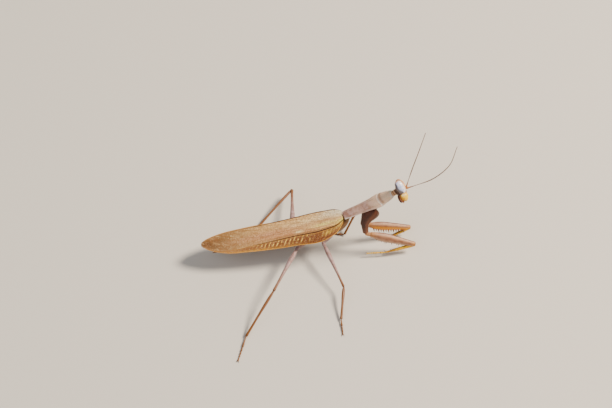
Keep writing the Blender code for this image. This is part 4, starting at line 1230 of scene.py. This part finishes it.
# %% Feelers
ANTENNA_STEPS = {  # places along each feeler, in the model's directions
    RIGHT: ((2.9, -0.3, 1.1), (8.0, -0.6, 3.7), (12.6, -0.9, 9.2), (15.0, -1.3, 19.7)),
    LEFT: ((0.8, 0.7, 1.8), (2.0, 2.0, 5.4), (4.0, 3.3, 12.3), (6.3, 5.2, 19.7)),
}
STEPS_FROM = np.array((1.3, 0.95, -0.2))  # the place in the head that those are measured from
FEELER_SIZE = ((0, 0.5), (0.016, 0.62), (0.034, 0.56), (0.041, 0.36), (0.05, 0.42), (0.06, 0.4),
               (0.068, 0.36), (0.3, 0.34), (1, 0.2))
RING_LENGTH = 0.32
# A thin dark thread, rusty at its first joints.
feeler_cuticle = cuticle("feeler_cuticle", "8A6452", "785444", "C08450", "3E261C", pits=0.08, relief=0.3)
for side in (RIGHT, LEFT):
    root, zero = (face(place * (1, side, 1))[0] for place in (ANTENNA_ROOT, STEPS_FROM))
    line = Path([root] + [zero + stop for stop in ANTENNA_STEPS[side]])
    rings_count = int(line.length / RING_LENGTH)

    def notch(t, angle):
        """1 in each dip between two rings, 0 elsewhere."""
        return np.cos(math.pi * rings_count * t) ** 12 * step(0.06, 0.08, t)

    thread = Shape().body(line, FEELER_SIZE, FEELER_SIZE, (0, 1, 0.01), rings=rings_count * 6, sides=12,
                          form=lambda t, a: 1 - 0.16 * notch(t, a), tint=lambda t, a: step(0.09, 0.03, t),
                          shade=lambda t, a: 0.5 * notch(t, a) + 0.6 * bump(0.041, 0.004, t))
    settle(thread.make("feeler_" + SIDE[side], feeler_cuticle), "antenna_umber", "antenna_" + SIDE[side])

# %% [markdown]
# ## The neck
#
# The neck is a short sleeve of soft skin that folds as the head turns. A plain tube would look like
# a pipe, so the outline rises and falls in slanting folds, with painted shade in the dips and painted
# light on the crests.

# %% Neck
NAPE = face((-1.1, 0, -0.3))[0]
neck_line = (prothorax_front - (0.9, 0, 0.55), prothorax_front + 0.55 * (NAPE - prothorax_front), NAPE)
NECK_SIZE = ((0, 1.6), (0.5, 1.85), (1, 1.9))
NECK_FOLDS = 3.5


def neck_ring(t, angle):
    """The height of the folds, from -1 in a dip to 1 on a crest."""
    return np.sin(math.tau * NECK_FOLDS * t + 0.9 * np.sin(2 * angle))


# Painted shade fills the dips of the folds and painted light the crests; the neck is also darker towards the
# head.
neck = Shape().body(neck_line, NECK_SIZE, NECK_SIZE, (0, 1, 0), rings=80, sides=36,
                    form=lambda t, a: 1 + 0.035 * neck_ring(t, a),
                    shade=lambda t, a: 0.6 * step(0.0, -1.0, neck_ring(t, a)) + 0.6 * step(0.6, 0.95, t),
                    tint=lambda t, a: 0.8 * step(0.4, 0.95, neck_ring(t, a)))
settle(neck.make("neck_folds", neck_membrane), "cuticle_brown", "neck")

# %% [markdown]
# ## Legs
#
# Every leg has the same chain: coxa, trochanter, femur, tibia and a foot of five short joints that
# ends in two claws. The two rear pairs walk; they are thin stilts with short hairs down the shin and
# two spurs above the foot. A rig with bones could pose them, but they never move, so the knee's place
# is worked out from the lengths of femur and tibia. Each segment is a lofted body that runs a little
# way into its neighbour, as the real ones socket together, so every leg is one mesh.

# %% Sizes of a walking leg
HIP_WIDTH = ((0, 2.2), (0.6, 1.8), (1, 1.2))
HIP_DEPTH = ((0, 2.0), (0.6, 1.7), (1, 1.2))
TROCHANTER_SIZE = ((0, 1.05), (1, 1.25))
FEMUR_WIDTH = ((0, 1.0), (0.18, 1.4), (0.5, 1.05), (0.8, 0.8), (1, 0.85))
FEMUR_DEPTH = ((0, 1.1), (0.18, 1.7), (0.5, 1.2), (0.8, 0.85), (1, 0.95))
FEMUR_SHARE = {"mid": 0.8, "hind": 1.0}  # the mid femur is the thinner one
TIBIA_WIDTH = ((0, 0.62), (0.1, 0.82), (0.6, 0.7), (1, 0.76))
TIBIA_DEPTH = ((0, 0.62), (0.1, 0.86), (0.6, 0.7), (1, 0.76))
FEMUR_RISE, TIBIA_RISE = (0, 0, 0.15), (0, 0, 0.2)  # how far they bow upwards
LENGTHS = {"mid": (16.6, 10.7), "hind": (18.6, 16.5)}  # femur and tibia
TROCHANTER_LENGTH, ANKLE_HEIGHT, TOE_HEIGHT = 1.5, 0.75, 0.25
LEG_PARTS = ("coxa", "trochanter", "femur", "tibia", "tarsus")
WALKING_LEGS = {  # coxa base, coxa end, ankle on the floor, toe, the way the knee points
    ("mid", RIGHT): ((8.4, -1.7, 9.6), (5.3, -3.2, 7.3), (7.6, -28.8), (7.4, -34.2), (1, 0, 0.15)),
    ("mid", LEFT): ((7.6, 1.7, 9.6), (3.4, 3.1, 7.9), (13.3, 3.7), (8.6, 5.2), (0.5, 0.5, 0.7)),
    ("hind", RIGHT): ((1.8, -1.7, 8.8), (-2.8, -3.7, 6.7), (-22.6, -31.2), (-26.1, -39.6), (0.44, 0, 0.9)),
    ("hind", LEFT): ((1.8, 1.7, 8.8), (-3.6, 3.0, 6.7), (-13.6, 10.6), (-21.5, 5.9), (0.15, 1, -0.12)),
}


def knee_place(hip, ankle, upper, lower, bend):
    """Where two leg segments of these lengths meet, bent towards the direction bend."""
    reach = ankle - hip
    length = np.linalg.norm(reach)
    ahead = reach / length
    share = (upper**2 - lower**2 + length**2) / (2 * length)
    height = math.sqrt(max(upper**2 - share**2, 0.0))
    off = unit(np.array(bend) - np.dot(bend, ahead) * ahead)
    return hip + share * ahead + height * off


def socketed(a, b, depth, bow=(0, 0, 0)):
    """A segment's line from a to b, begun a depth before a, inside its neighbour."""
    start, middle, end = between(a, b, bow)
    return start - depth * unit(b - a), middle, end


def joint_shade(t, angle):
    """A segment is darker at its two ends, where it joins its neighbours."""
    return 0.5 * step(0.05, 0.0, t) + 0.6 * step(0.95, 1.0, t)


print("walking legs:", [pair + " " + SIDE[side] for pair, side in WALKING_LEGS])

# %% A foot
TARSOMERES = (0.42, 0.17, 0.13, 0.1, 0.18)  # lengths of the five joints, as shares of the foot
TARSOMERE_SIZE = ((0, 0.62), (0.6, 0.78), (0.9, 1.0), (1, 0.8))  # a joint widens towards its far end
PAD_WIDTH, PAD_DEPTH = ((0, 0.3), (0.5, 0.4), (1, 0.3)), ((0, 0.25), (0.5, 0.32), (1, 0.25))
PAD_HEIGHT, CLAW_LEAST = 0.16, 0.06  # heights of the pads' middles, and of the claws' points
FOOT_CLAW_SIZE = ((0, 0.18), (0.4, 0.14), (1, 0.03))


def foot(shape, ankle, toe, thick, floor, **stains):
    """Five tarsomeres, their pads, and two claws. A foot on no floor is held in the air."""
    standing = floor is not None
    line = Path(between(ankle, toe, (0, 0, -0.12 if standing else 0)))
    ahead = unit(toe - ankle)
    across = unit(np.cross(ahead, (0, 0, 1)))
    ends = np.concatenate([[0], np.cumsum(TARSOMERES)])
    for k, (a, b) in enumerate(zip(ends, ends[1:])):
        points = line.at(np.linspace(max(0, a - 0.015), b, 3))
        size = [(t, share * thick * (1.0 - 0.06 * k)) for t, share in TARSOMERE_SIZE]
        shape.body(points, size, size, across, rings=14, sides=16, floor=floor, ends=(0.5, 0.7),
                   shade=lambda t, angle: 0.5 * step(0.85, 1.0, t) + 0.3 * step(0.12, 0.0, t), **stains)
        if standing and k < len(TARSOMERES) - 1:
            pad = points[2] - 0.12 * ahead
            pad = np.array((pad[0], pad[1], PAD_HEIGHT))
            shape.body((pad - 0.2 * ahead, pad, pad + 0.22 * ahead), PAD_WIDTH, PAD_DEPTH, across,
                       rings=8, sides=12, floor=floor, tint=1.0)
    for way in (-1, 1):
        root = toe - 0.15 * ahead + way * 0.1 * across
        end = toe + 0.55 * ahead + way * 0.38 * across
        end[2] = max(end[2] - 0.15, CLAW_LEAST)
        middle = 0.5 * (root + end) + way * 0.08 * across + (0, 0, 0.12)
        shape.body((root, middle, end), FOOT_CLAW_SIZE, FOOT_CLAW_SIZE, (0, 0, 1), rings=14, sides=10,
                   shade=lambda t, angle: step(0.1, 0.9, t), **stains)


print("joints of a foot, as shares of its length:", TARSOMERES)

# %% Hairs and spurs
BRISTLE_ROWS, BRISTLES, BRISTLE_LENGTH, BRISTLE_THICKNESS = 5, 24, 0.32, 0.06
SPUR_LENGTH, SPUR_THICKNESS = 0.75, 0.17
# Spines are solid horn: amber at the root and nearly black at the point.
thorn_horn = cuticle("thorn_horn", "9A5A1C", "84481A", "E0B050", "160A06", relief=0.2, coat=0.3)
# Hairs are so thin that only their colour shows, a shade darker than the shin.
bristle_horn = cuticle("bristle_horn", "8A5A34", "7A4C2A", "A8784A", "2A160C", relief=0.1)


def bristle_places(knee, ankle, across):
    """Rows of short hairs down a shin, and the two spurs at its end."""
    shin = unit(ankle - knee)
    line = Path(between(knee, ankle, TIBIA_RISE))
    deep = np.cross(shin, across)
    places = [(ankle - 0.3 * shin + way * 0.25 * across, shin + way * 0.5 * across, shin, SPUR_LENGTH,
               SPUR_THICKNESS) for way in (-1, 1)]
    for row in range(BRISTLE_ROWS):
        turn = math.tau * (row + 0.25) / BRISTLE_ROWS
        out = math.cos(turn) * across + math.sin(turn) * deep
        for k in range(BRISTLES):
            spot = line.at(0.07 + 0.9 * (k + 0.4 * (row % 3)) / BRISTLES) + 0.31 * out
            places.append((spot, out + 0.9 * shin, shin, BRISTLE_LENGTH, BRISTLE_THICKNESS))
    return places


def grow_thorns(name, places, slot, **inputs):
    """Grows thorns or hairs from rows of place, aim, lean, length and thickness."""
    spots, aims, leans, longs, girths = zip(*places)
    values = {"aim": unit(aims), "lean": unit(leans), "long": longs, "girth": girths}
    return settle(grow(name, thorns, spots, values=values, **inputs), slot)


print("hairs on each shin:", BRISTLE_ROWS * BRISTLES)

# %% Four walking legs
WALKING_TARSUS = 0.62  # thickness of the foot


def facets(t, angle):
    """A femur and a tibia have four faint long edges."""
    return np.cos(4 * angle) * step(0.05, 0.2, t) * step(1.0, 0.9, t)


def walking_leg(pair, side):
    base, hip, ankle, toe, bend = WALKING_LEGS[pair, side]
    base, hip = np.array(base), np.array(hip)
    ankle, toe = np.array((*ankle, ANKLE_HEIGHT)), np.array((*toe, TOE_HEIGHT))
    knee = knee_place(hip, ankle, *LENGTHS[pair], bend)
    thigh, shin = unit(knee - hip), unit(ankle - knee)
    across = unit(np.cross(thigh, shin))
    turn = hip + thigh * TROCHANTER_LENGTH
    leg = Shape()
    leg.body(between(base, hip), HIP_WIDTH, HIP_DEPTH, (0, 0, 1), rings=40, sides=32, shade=joint_shade,
             form=lambda t, angle: 1 + 0.05 * np.cos(3 * angle) * step(0.1, 0.4, t))
    leg.body(socketed(hip, turn, 0.3), TROCHANTER_SIZE, TROCHANTER_SIZE, across, rings=24, sides=28,
             form=lambda t, angle: 1 - 0.12 * bump(0.45, 0.1, t), shade=joint_shade)
    width, depth = ([(t, FEMUR_SHARE[pair] * size) for t, size in stops]
                    for stops in (FEMUR_WIDTH, FEMUR_DEPTH))
    leg.body(socketed(turn, knee, 0.35, FEMUR_RISE), width, depth, across, rings=90, sides=28,
             shade=joint_shade, tint=lambda t, angle: 0.9 * step(0.35, 1.0, t),
             form=lambda t, angle: 1 + 0.06 * facets(t, angle) + 0.1 * bump(0.965, 0.03, t))
    leg.body(socketed(knee, ankle, 0.15, TIBIA_RISE), TIBIA_WIDTH, TIBIA_DEPTH, across, rings=80, sides=24,
             shade=joint_shade, tint=lambda t, angle: 0.85 + 0.15 * t,
             form=lambda t, angle: 1 + 0.05 * np.cos(4 * angle) - 0.14 * bump(0.05, 0.02, t)
             + 0.08 * bump(0.97, 0.03, t))
    foot(leg, ankle, toe, WALKING_TARSUS, 0.0, tint=1.0)
    name = pair + "leg_" + SIDE[side]
    made = leg.make(name + "_cuticle", leg_cuticle)
    settle(made, "leg_lilac_brown", *(name + "_" + part for part in LEG_PARTS))
    grow_thorns(name + "_bristles", bristle_places(knee, ankle, across), "leg_lilac_brown",
                Sides=5, Bend=0.3, Dark=0.3, Finish=bristle_horn)
    print(pair, SIDE[side], "knee at", np.round(knee, 1))


for side in (RIGHT, LEFT):
    for pair in ("mid", "hind"):
        walking_leg(pair, side)

# %% [markdown]
# ## The forelegs
#
# The forelegs are the trap. The coxa is as long as a femur and broad at its base, the femur is a
# deep blade with a channel under it, and the tibia folds back along that channel like the blade of
# a pocket knife. Both edges carry spines. The segments are lofted as before; what is new is that
# colours and spines must know which face holds the prey, so each leg first works out its directions.

# %% Sizes of a foreleg
FORE_COXA_WIDTH = ((0, 1.9), (0.3, 2.2), (1, 1.4))
FORE_COXA_DEPTH = ((0, 5.4), (0.22, 4.8), (0.5, 3.2), (0.75, 2.2), (1, 1.7))
FORE_COXA_BOW = {RIGHT: (-1.5, 0, 0), LEFT: (-0.6, 0, 0)}
FORE_TROCHANTER_WIDTH = ((0, 1.1), (1, 1.2))
FORE_TROCHANTER_DEPTH = ((0, 1.3), (1, 1.6))
FORE_TROCHANTER_LENGTH = 1.8
FORE_FEMUR_WIDTH = ((0, 1.0), (0.3, 1.7), (0.7, 1.4), (1, 1.1))
FORE_FEMUR_DEPTH = ((0, 1.5), (0.3, 3.0), (0.6, 2.6), (1, 1.5))
FORE_TIBIA_WIDTH = ((0, 0.9), (0.5, 0.8), (1, 0.6))
FORE_TIBIA_DEPTH = ((0, 1.1), (0.4, 1.2), (0.8, 0.9), (1, 0.6))
FORE_CLAW_WIDTH = ((0, 0.6), (0.5, 0.4), (1, 0.06))
FORE_CLAW_DEPTH = ((0, 0.7), (0.5, 0.45), (1, 0.06))
FORE_CLAW_LENGTH, FORE_TARSUS = 2.4, 0.52
FORE_LEGS = {
    RIGHT: dict(base=(22.0, -1.3, 19.6), hip=(18.9, -3.2, 9.7), knee=(34.9, -5.4, 3.8),
                wrist=(26.4, -6.0, 2.4), toe=(19.2, -5.6, 2.0)),
    LEFT: dict(base=(22.0, 1.3, 19.8), hip=(18.6, 0.9, 8.8), knee=(34.4, 1.4, 4.0),
               wrist=(27.4, 0.2, 1.5), toe=(22.0, 1.1, 1.4)),
}


def foreleg_plan(side):
    """A foreleg's joints and directions.

    blade points from the femur to the tibia, facing back from the tibia to the femur, inside to the
    other foreleg, and front out of the coxa's front edge. under, inner and ahead are 1 or -1, and
    say which half of a body's outline faces those ways.
    """
    leg = SimpleNamespace(**{joint: np.array(place) for joint, place in FORE_LEGS[side].items()})
    leg.thigh, leg.shin, leg.down = (unit(b - a) for a, b in (
        (leg.hip, leg.knee), (leg.knee, leg.wrist), (leg.base, leg.hip)))
    leg.turn = leg.hip + leg.thigh * FORE_TROCHANTER_LENGTH
    leg.coxa = Path(between(leg.base, leg.hip, FORE_COXA_BOW[side]))
    leg.across = unit(np.cross(leg.thigh, leg.shin))
    blade = unit(np.cross(leg.across, leg.thigh))
    leg.blade = blade * np.sign(np.dot(blade, leg.shin))
    leg.under = np.sign(np.dot(np.cross(leg.thigh, leg.across), leg.blade))
    leg.inner = -np.sign(leg.across[1] * side)
    leg.inside = leg.across * leg.inner
    facing = unit(np.cross(leg.across, leg.shin))
    leg.facing = -facing * np.sign(np.dot(facing, leg.thigh))
    front = unit(np.cross(leg.down, leg.across))
    leg.ahead = np.sign(front[0])
    leg.front = front * leg.ahead
    return leg


for side in (RIGHT, LEFT):
    print("the", SIDE[side], "femur closes towards", np.round(foreleg_plan(side).blade, 2))

# %% Spines of a foreleg
FEMUR_SPINES = (  # row (1 inner, -1 outer), count, first and last share of the femur, and lengths in turn
    (1, 13, 0.15, 0.84, (1.35, 0.95)),
    (-1, 4, 0.34, 0.78, (0.95, 0.95)),
)
MIDDLE_SPINES = (0.6, 0.95, 1.15, 0.75)  # lengths of the four that stand between the two rows
SHIN_SPINES = ((1, 13), (-1, 9))
RIDGE_TEETH, COXA_TEETH = 26, 9


def thorn_places(leg):
    """Every thorn of a foreleg: where it stands, where it points, how it bends, length, thickness."""
    run, shin_run, places = leg.knee - leg.turn, leg.wrist - leg.knee, []
    for row, count, first, last, lengths in FEMUR_SPINES:
        for k in range(count):
            t = first + (last - first) * k / (count - 1)
            depth = float(curve(FORE_FEMUR_DEPTH, t))
            spot = leg.turn + run * t + leg.blade * 0.38 * depth + leg.inside * row * 0.4
            aim = leg.blade + 0.2 * leg.thigh + leg.inside * row * 0.2
            places.append((spot, aim, leg.thigh, lengths[k % 2], 0.5 + 0.16 * row))
    for k, long in enumerate(MIDDLE_SPINES):
        t = 0.2 + 0.055 * k
        spot = leg.turn + run * t + leg.blade * 0.34 * float(curve(FORE_FEMUR_DEPTH, t))
        places.append((spot, leg.blade + 0.3 * leg.thigh, leg.thigh, long, 0.34))
    for row, count in SHIN_SPINES:
        for k in range(count):
            t = 0.24 + 0.68 * k / (count - 1)
            spot = leg.knee + shin_run * t + leg.facing * 0.28 + leg.inside * row * 0.22
            aim = leg.facing + 0.6 * leg.shin + leg.inside * row * 0.15
            places.append((spot, aim, leg.shin, 0.38 + 0.3 * t, 0.2))
    for t in np.linspace(0.1, 0.92, RIDGE_TEETH):
        spot = leg.turn + run * t - leg.blade * (0.485 * float(curve(FORE_FEMUR_DEPTH, t)) - 0.03)
        places.append((spot, 0.4 * leg.thigh - leg.blade, leg.thigh, 0.16, 0.2))
    for t in np.linspace(0.16, 0.92, COXA_TEETH):
        spot = leg.coxa.at(t) + leg.front * 0.47 * float(curve(FORE_COXA_DEPTH, t))
        places.append((spot, leg.front + 0.3 * leg.down, leg.down, 0.28, 0.16))
    return places


print("spines and teeth on each foreleg:", len(thorn_places(foreleg_plan(RIGHT))))


# %% The femur that holds the prey
def add_femur(limb, leg):
    """The deep femur, with its channel, its orange inner face and its dark and pale lines."""

    def form(t, angle):
        """A channel under the femur, between two ridges that carry the spines."""
        off = angle - math.pi * (1 - 0.5 * leg.under)
        keep = step(0.05, 0.2, t) * step(1.0, 0.92, t)
        ridges = bump(0.55, 0.22, off) + bump(-0.55, 0.22, off)
        return 1 + (-0.1 * bump(0, 0.3, off) + 0.06 * ridges) * keep + 0.06 * bump(0.96, 0.03, t)

    def tint(t, angle):
        """The inner face and the lower edge are orange, and both ends are warmer than the middle."""
        face_in, low = np.cos(angle) * leg.inner, np.sin(angle) * leg.under
        orange = step(0.0, 0.6, face_in) * step(-0.35, 0.1, low) * step(0.08, 0.2, t)
        return np.clip(orange + 0.45 * step(0.86, 1.0, t) + 0.25 * step(0.2, 0.0, t), 0, 1)

    def pale(t, angle):
        """Pale bands run along the upper and lower edges of the outer face."""
        outer, low = step(-0.1, 0.3, -np.cos(angle) * leg.inner), np.sin(angle) * leg.under
        upper = bump(-0.7, 0.16, low) * step(0.06, 0.16, t) * step(1.0, 0.85, t)
        return 0.5 * outer * bump(0.62, 0.16, low) + 0.6 * upper

    def shade(t, angle):
        """A thin dark line follows the upper edge, and a broad soft one each side of the middle."""
        low = np.sin(angle) * leg.under
        upper, middle = 0.7 * bump(-0.985, 0.04, low) * step(0.1, 0.25, t), 0.36 * bump(-0.05, 0.3, low)
        # Painted shadow: the channel under the femur is darkened where its ridges and spines shade it.
        channel = 0.6 * bump(0.97, 0.07, low) * step(0.1, 0.2, t)
        return np.clip(joint_shade(t, angle) + upper + middle + channel, 0, 1)

    limb.body(socketed(leg.turn, leg.knee, 0.5), FORE_FEMUR_WIDTH, FORE_FEMUR_DEPTH, leg.across,
              rings=110, sides=64, slot=1, form=form, tint=tint, pale=pale, shade=shade)


femur_depths = curve(FORE_FEMUR_DEPTH, np.linspace(0, 1, 101))
print("the fore femur is", round(float(femur_depths.max()), 2), "mm deep at most")


# %% Both forelegs
def foreleg(side):
    leg = foreleg_plan(side)
    limb = Shape()
    # Painted light on the coxa: the pale front edge and the lighter band beside it, on the side where the
    # key light falls.
    limb.body(leg.coxa, FORE_COXA_WIDTH, FORE_COXA_DEPTH, leg.across, rings=80, sides=48, slot=3,
              form=lambda t, angle: 1 + 0.05 * np.cos(3 * angle + 0.5) * step(0.0, 0.3, t)
              - 0.05 * bump(0.25, 0.14, np.sin(angle) * leg.ahead) * step(0.1, 0.3, t), shade=joint_shade,
              pale=lambda t, angle: 0.6 * step(0.6, 0.85, np.sin(angle) * leg.ahead) * step(1.05, 0.6, t),
              tint=lambda t, angle: 0.5 * step(0.6, 1.0, t)
              + 0.55 * bump(0.35, 0.25, np.sin(angle) * leg.ahead))
    limb.body(socketed(leg.hip, leg.turn, 0.2), FORE_TROCHANTER_WIDTH, FORE_TROCHANTER_DEPTH, leg.across,
              rings=24, sides=28, slot=1, shade=joint_shade, tint=0.15)
    add_femur(limb, leg)
    limb.body(socketed(leg.knee, leg.wrist, -0.02), FORE_TIBIA_WIDTH, FORE_TIBIA_DEPTH, leg.across,
              rings=80, sides=32, slot=2,
              shade=lambda t, angle: joint_shade(t, angle) + 0.45 * bump(-0.9, 0.35, np.sin(angle)),
              pale=lambda t, angle: 0.35 * bump(0.4, 0.3, t), tint=lambda t, angle: 0.6 * step(0.12, 0.0, t))
    claw_line = (leg.wrist - 0.8 * leg.shin,
                 leg.wrist + (FORE_CLAW_LENGTH - 1.3) * leg.shin + 0.25 * leg.facing,
                 leg.wrist + (FORE_CLAW_LENGTH - 0.6) * leg.shin + 1.0 * leg.facing)
    limb.body(claw_line, FORE_CLAW_WIDTH, FORE_CLAW_DEPTH, leg.across, rings=40, sides=20, slot=2,
              shade=lambda t, angle: step(0.45, 0.9, t), tint=0.4)
    ankle = leg.wrist - 0.3 * leg.facing + 0.1 * unit(leg.toe - leg.wrist)
    foot(limb, ankle, leg.toe, FORE_TARSUS, None, slot=2, tint=0.1, pale=0.6)
    name = "foreleg_" + SIDE[side]
    made = limb.make(name + "_cuticle", leg_cuticle, raptorial_cuticle, yellow_cuticle, coxa_cuticle_painted_shade)
    settle(made, "raptorial_tan", *(name + "_" + part for part in LEG_PARTS))
    grow_thorns(name + "_thorns", thorn_places(leg), "raptorial_tan", Bend=0.22, Dark=0.0,
                Finish=thorn_horn)


for side in (RIGHT, LEFT):
    foreleg(side)

# %% [markdown]
# ## The stage
#
# A plain pale floor, one broad soft light from the front of the insect, a weaker one from behind, and
# a camera well above it, looking down along its side through a long lens. The floor is matt paper, so
# that it shows soft shadows and no mirror image.

# %% Floor
FLOOR_HALF = 2000
FLOOR_CORNERS = [(x * FLOOR_HALF, y * FLOOR_HALF, 0) for x, y in ((-1, -1), (1, -1), (1, 1), (-1, 1))]
floor_paper, _, shader, _ = surface("pale_floor", Roughness=0.9)
shader.inputs["Base Color"].default_value = colour("DAD3C8")
Shape().add(FLOOR_CORNERS, [(0, 1, 2, 3)]).make("floor", floor_paper)

# %% Camera
ELEVATION, HEADING, DISTANCE = math.radians(53), math.radians(7.5), 650.0
VIEW_WIDTH = 612 / 3.06  # millimetres across the view at the insect
right = Vector((math.cos(HEADING), -math.sin(HEADING), 0))
away = Vector((math.sin(HEADING), math.cos(HEADING), 0))
look = away * math.cos(ELEVATION) - Vector((0, 0, math.sin(ELEVATION)))
target = 0.3 * right + 18.2 * away
lens = bpy.data.cameras.new("camera")
lens.sensor_width = 36.0
lens.lens = DISTANCE / VIEW_WIDTH * lens.sensor_width
lens.clip_start, lens.clip_end = 0.01, 20.0
camera = bpy.data.objects.new("camera", lens)
camera.location = (target - look * DISTANCE) * MM + ORIGIN
camera.rotation_euler = look.to_track_quat("-Z", "Y").to_euler()
bpy.context.scene.collection.objects.link(camera)
bpy.context.scene.camera = camera
print("camera lens:", round(lens.lens, 1), "mm, and the view is", round(VIEW_WIDTH), "mm wide")


# %% Lights
def area_light(name, towards, distance, size, power, tint):
    """A round soft lamp that stands off towards a direction and shines back at the insect."""
    lamp = bpy.data.lights.new(name, "AREA")
    lamp.shape, lamp.size, lamp.energy, lamp.color = "DISK", size, power, colour(tint)[:3]
    made = bpy.data.objects.new(name, lamp)
    made.location = Vector(towards).normalized() * distance
    made.rotation_euler = (-made.location).to_track_quat("-Z", "Y").to_euler()
    bpy.context.scene.collection.objects.link(made)
    print(name, "light:", power, "W,", size, "m across")


area_light("key", right * 0.75 + away * 0.1 + Vector((0, 0, 0.85)), 1.2, 0.36, 30.0, "FFF2E0")
area_light("fill", -right * 0.6 - away * 0.6 + Vector((0, 0, 0.9)), 1.4, 1.2, 6.5, "EEF2FF")
world = bpy.data.worlds.new("studio")
world.use_nodes = True
world.node_tree.nodes["Background"].inputs["Color"].default_value = colour("F2F0EC")
world.node_tree.nodes["Background"].inputs["Strength"].default_value = 0.32
bpy.context.scene.world = world
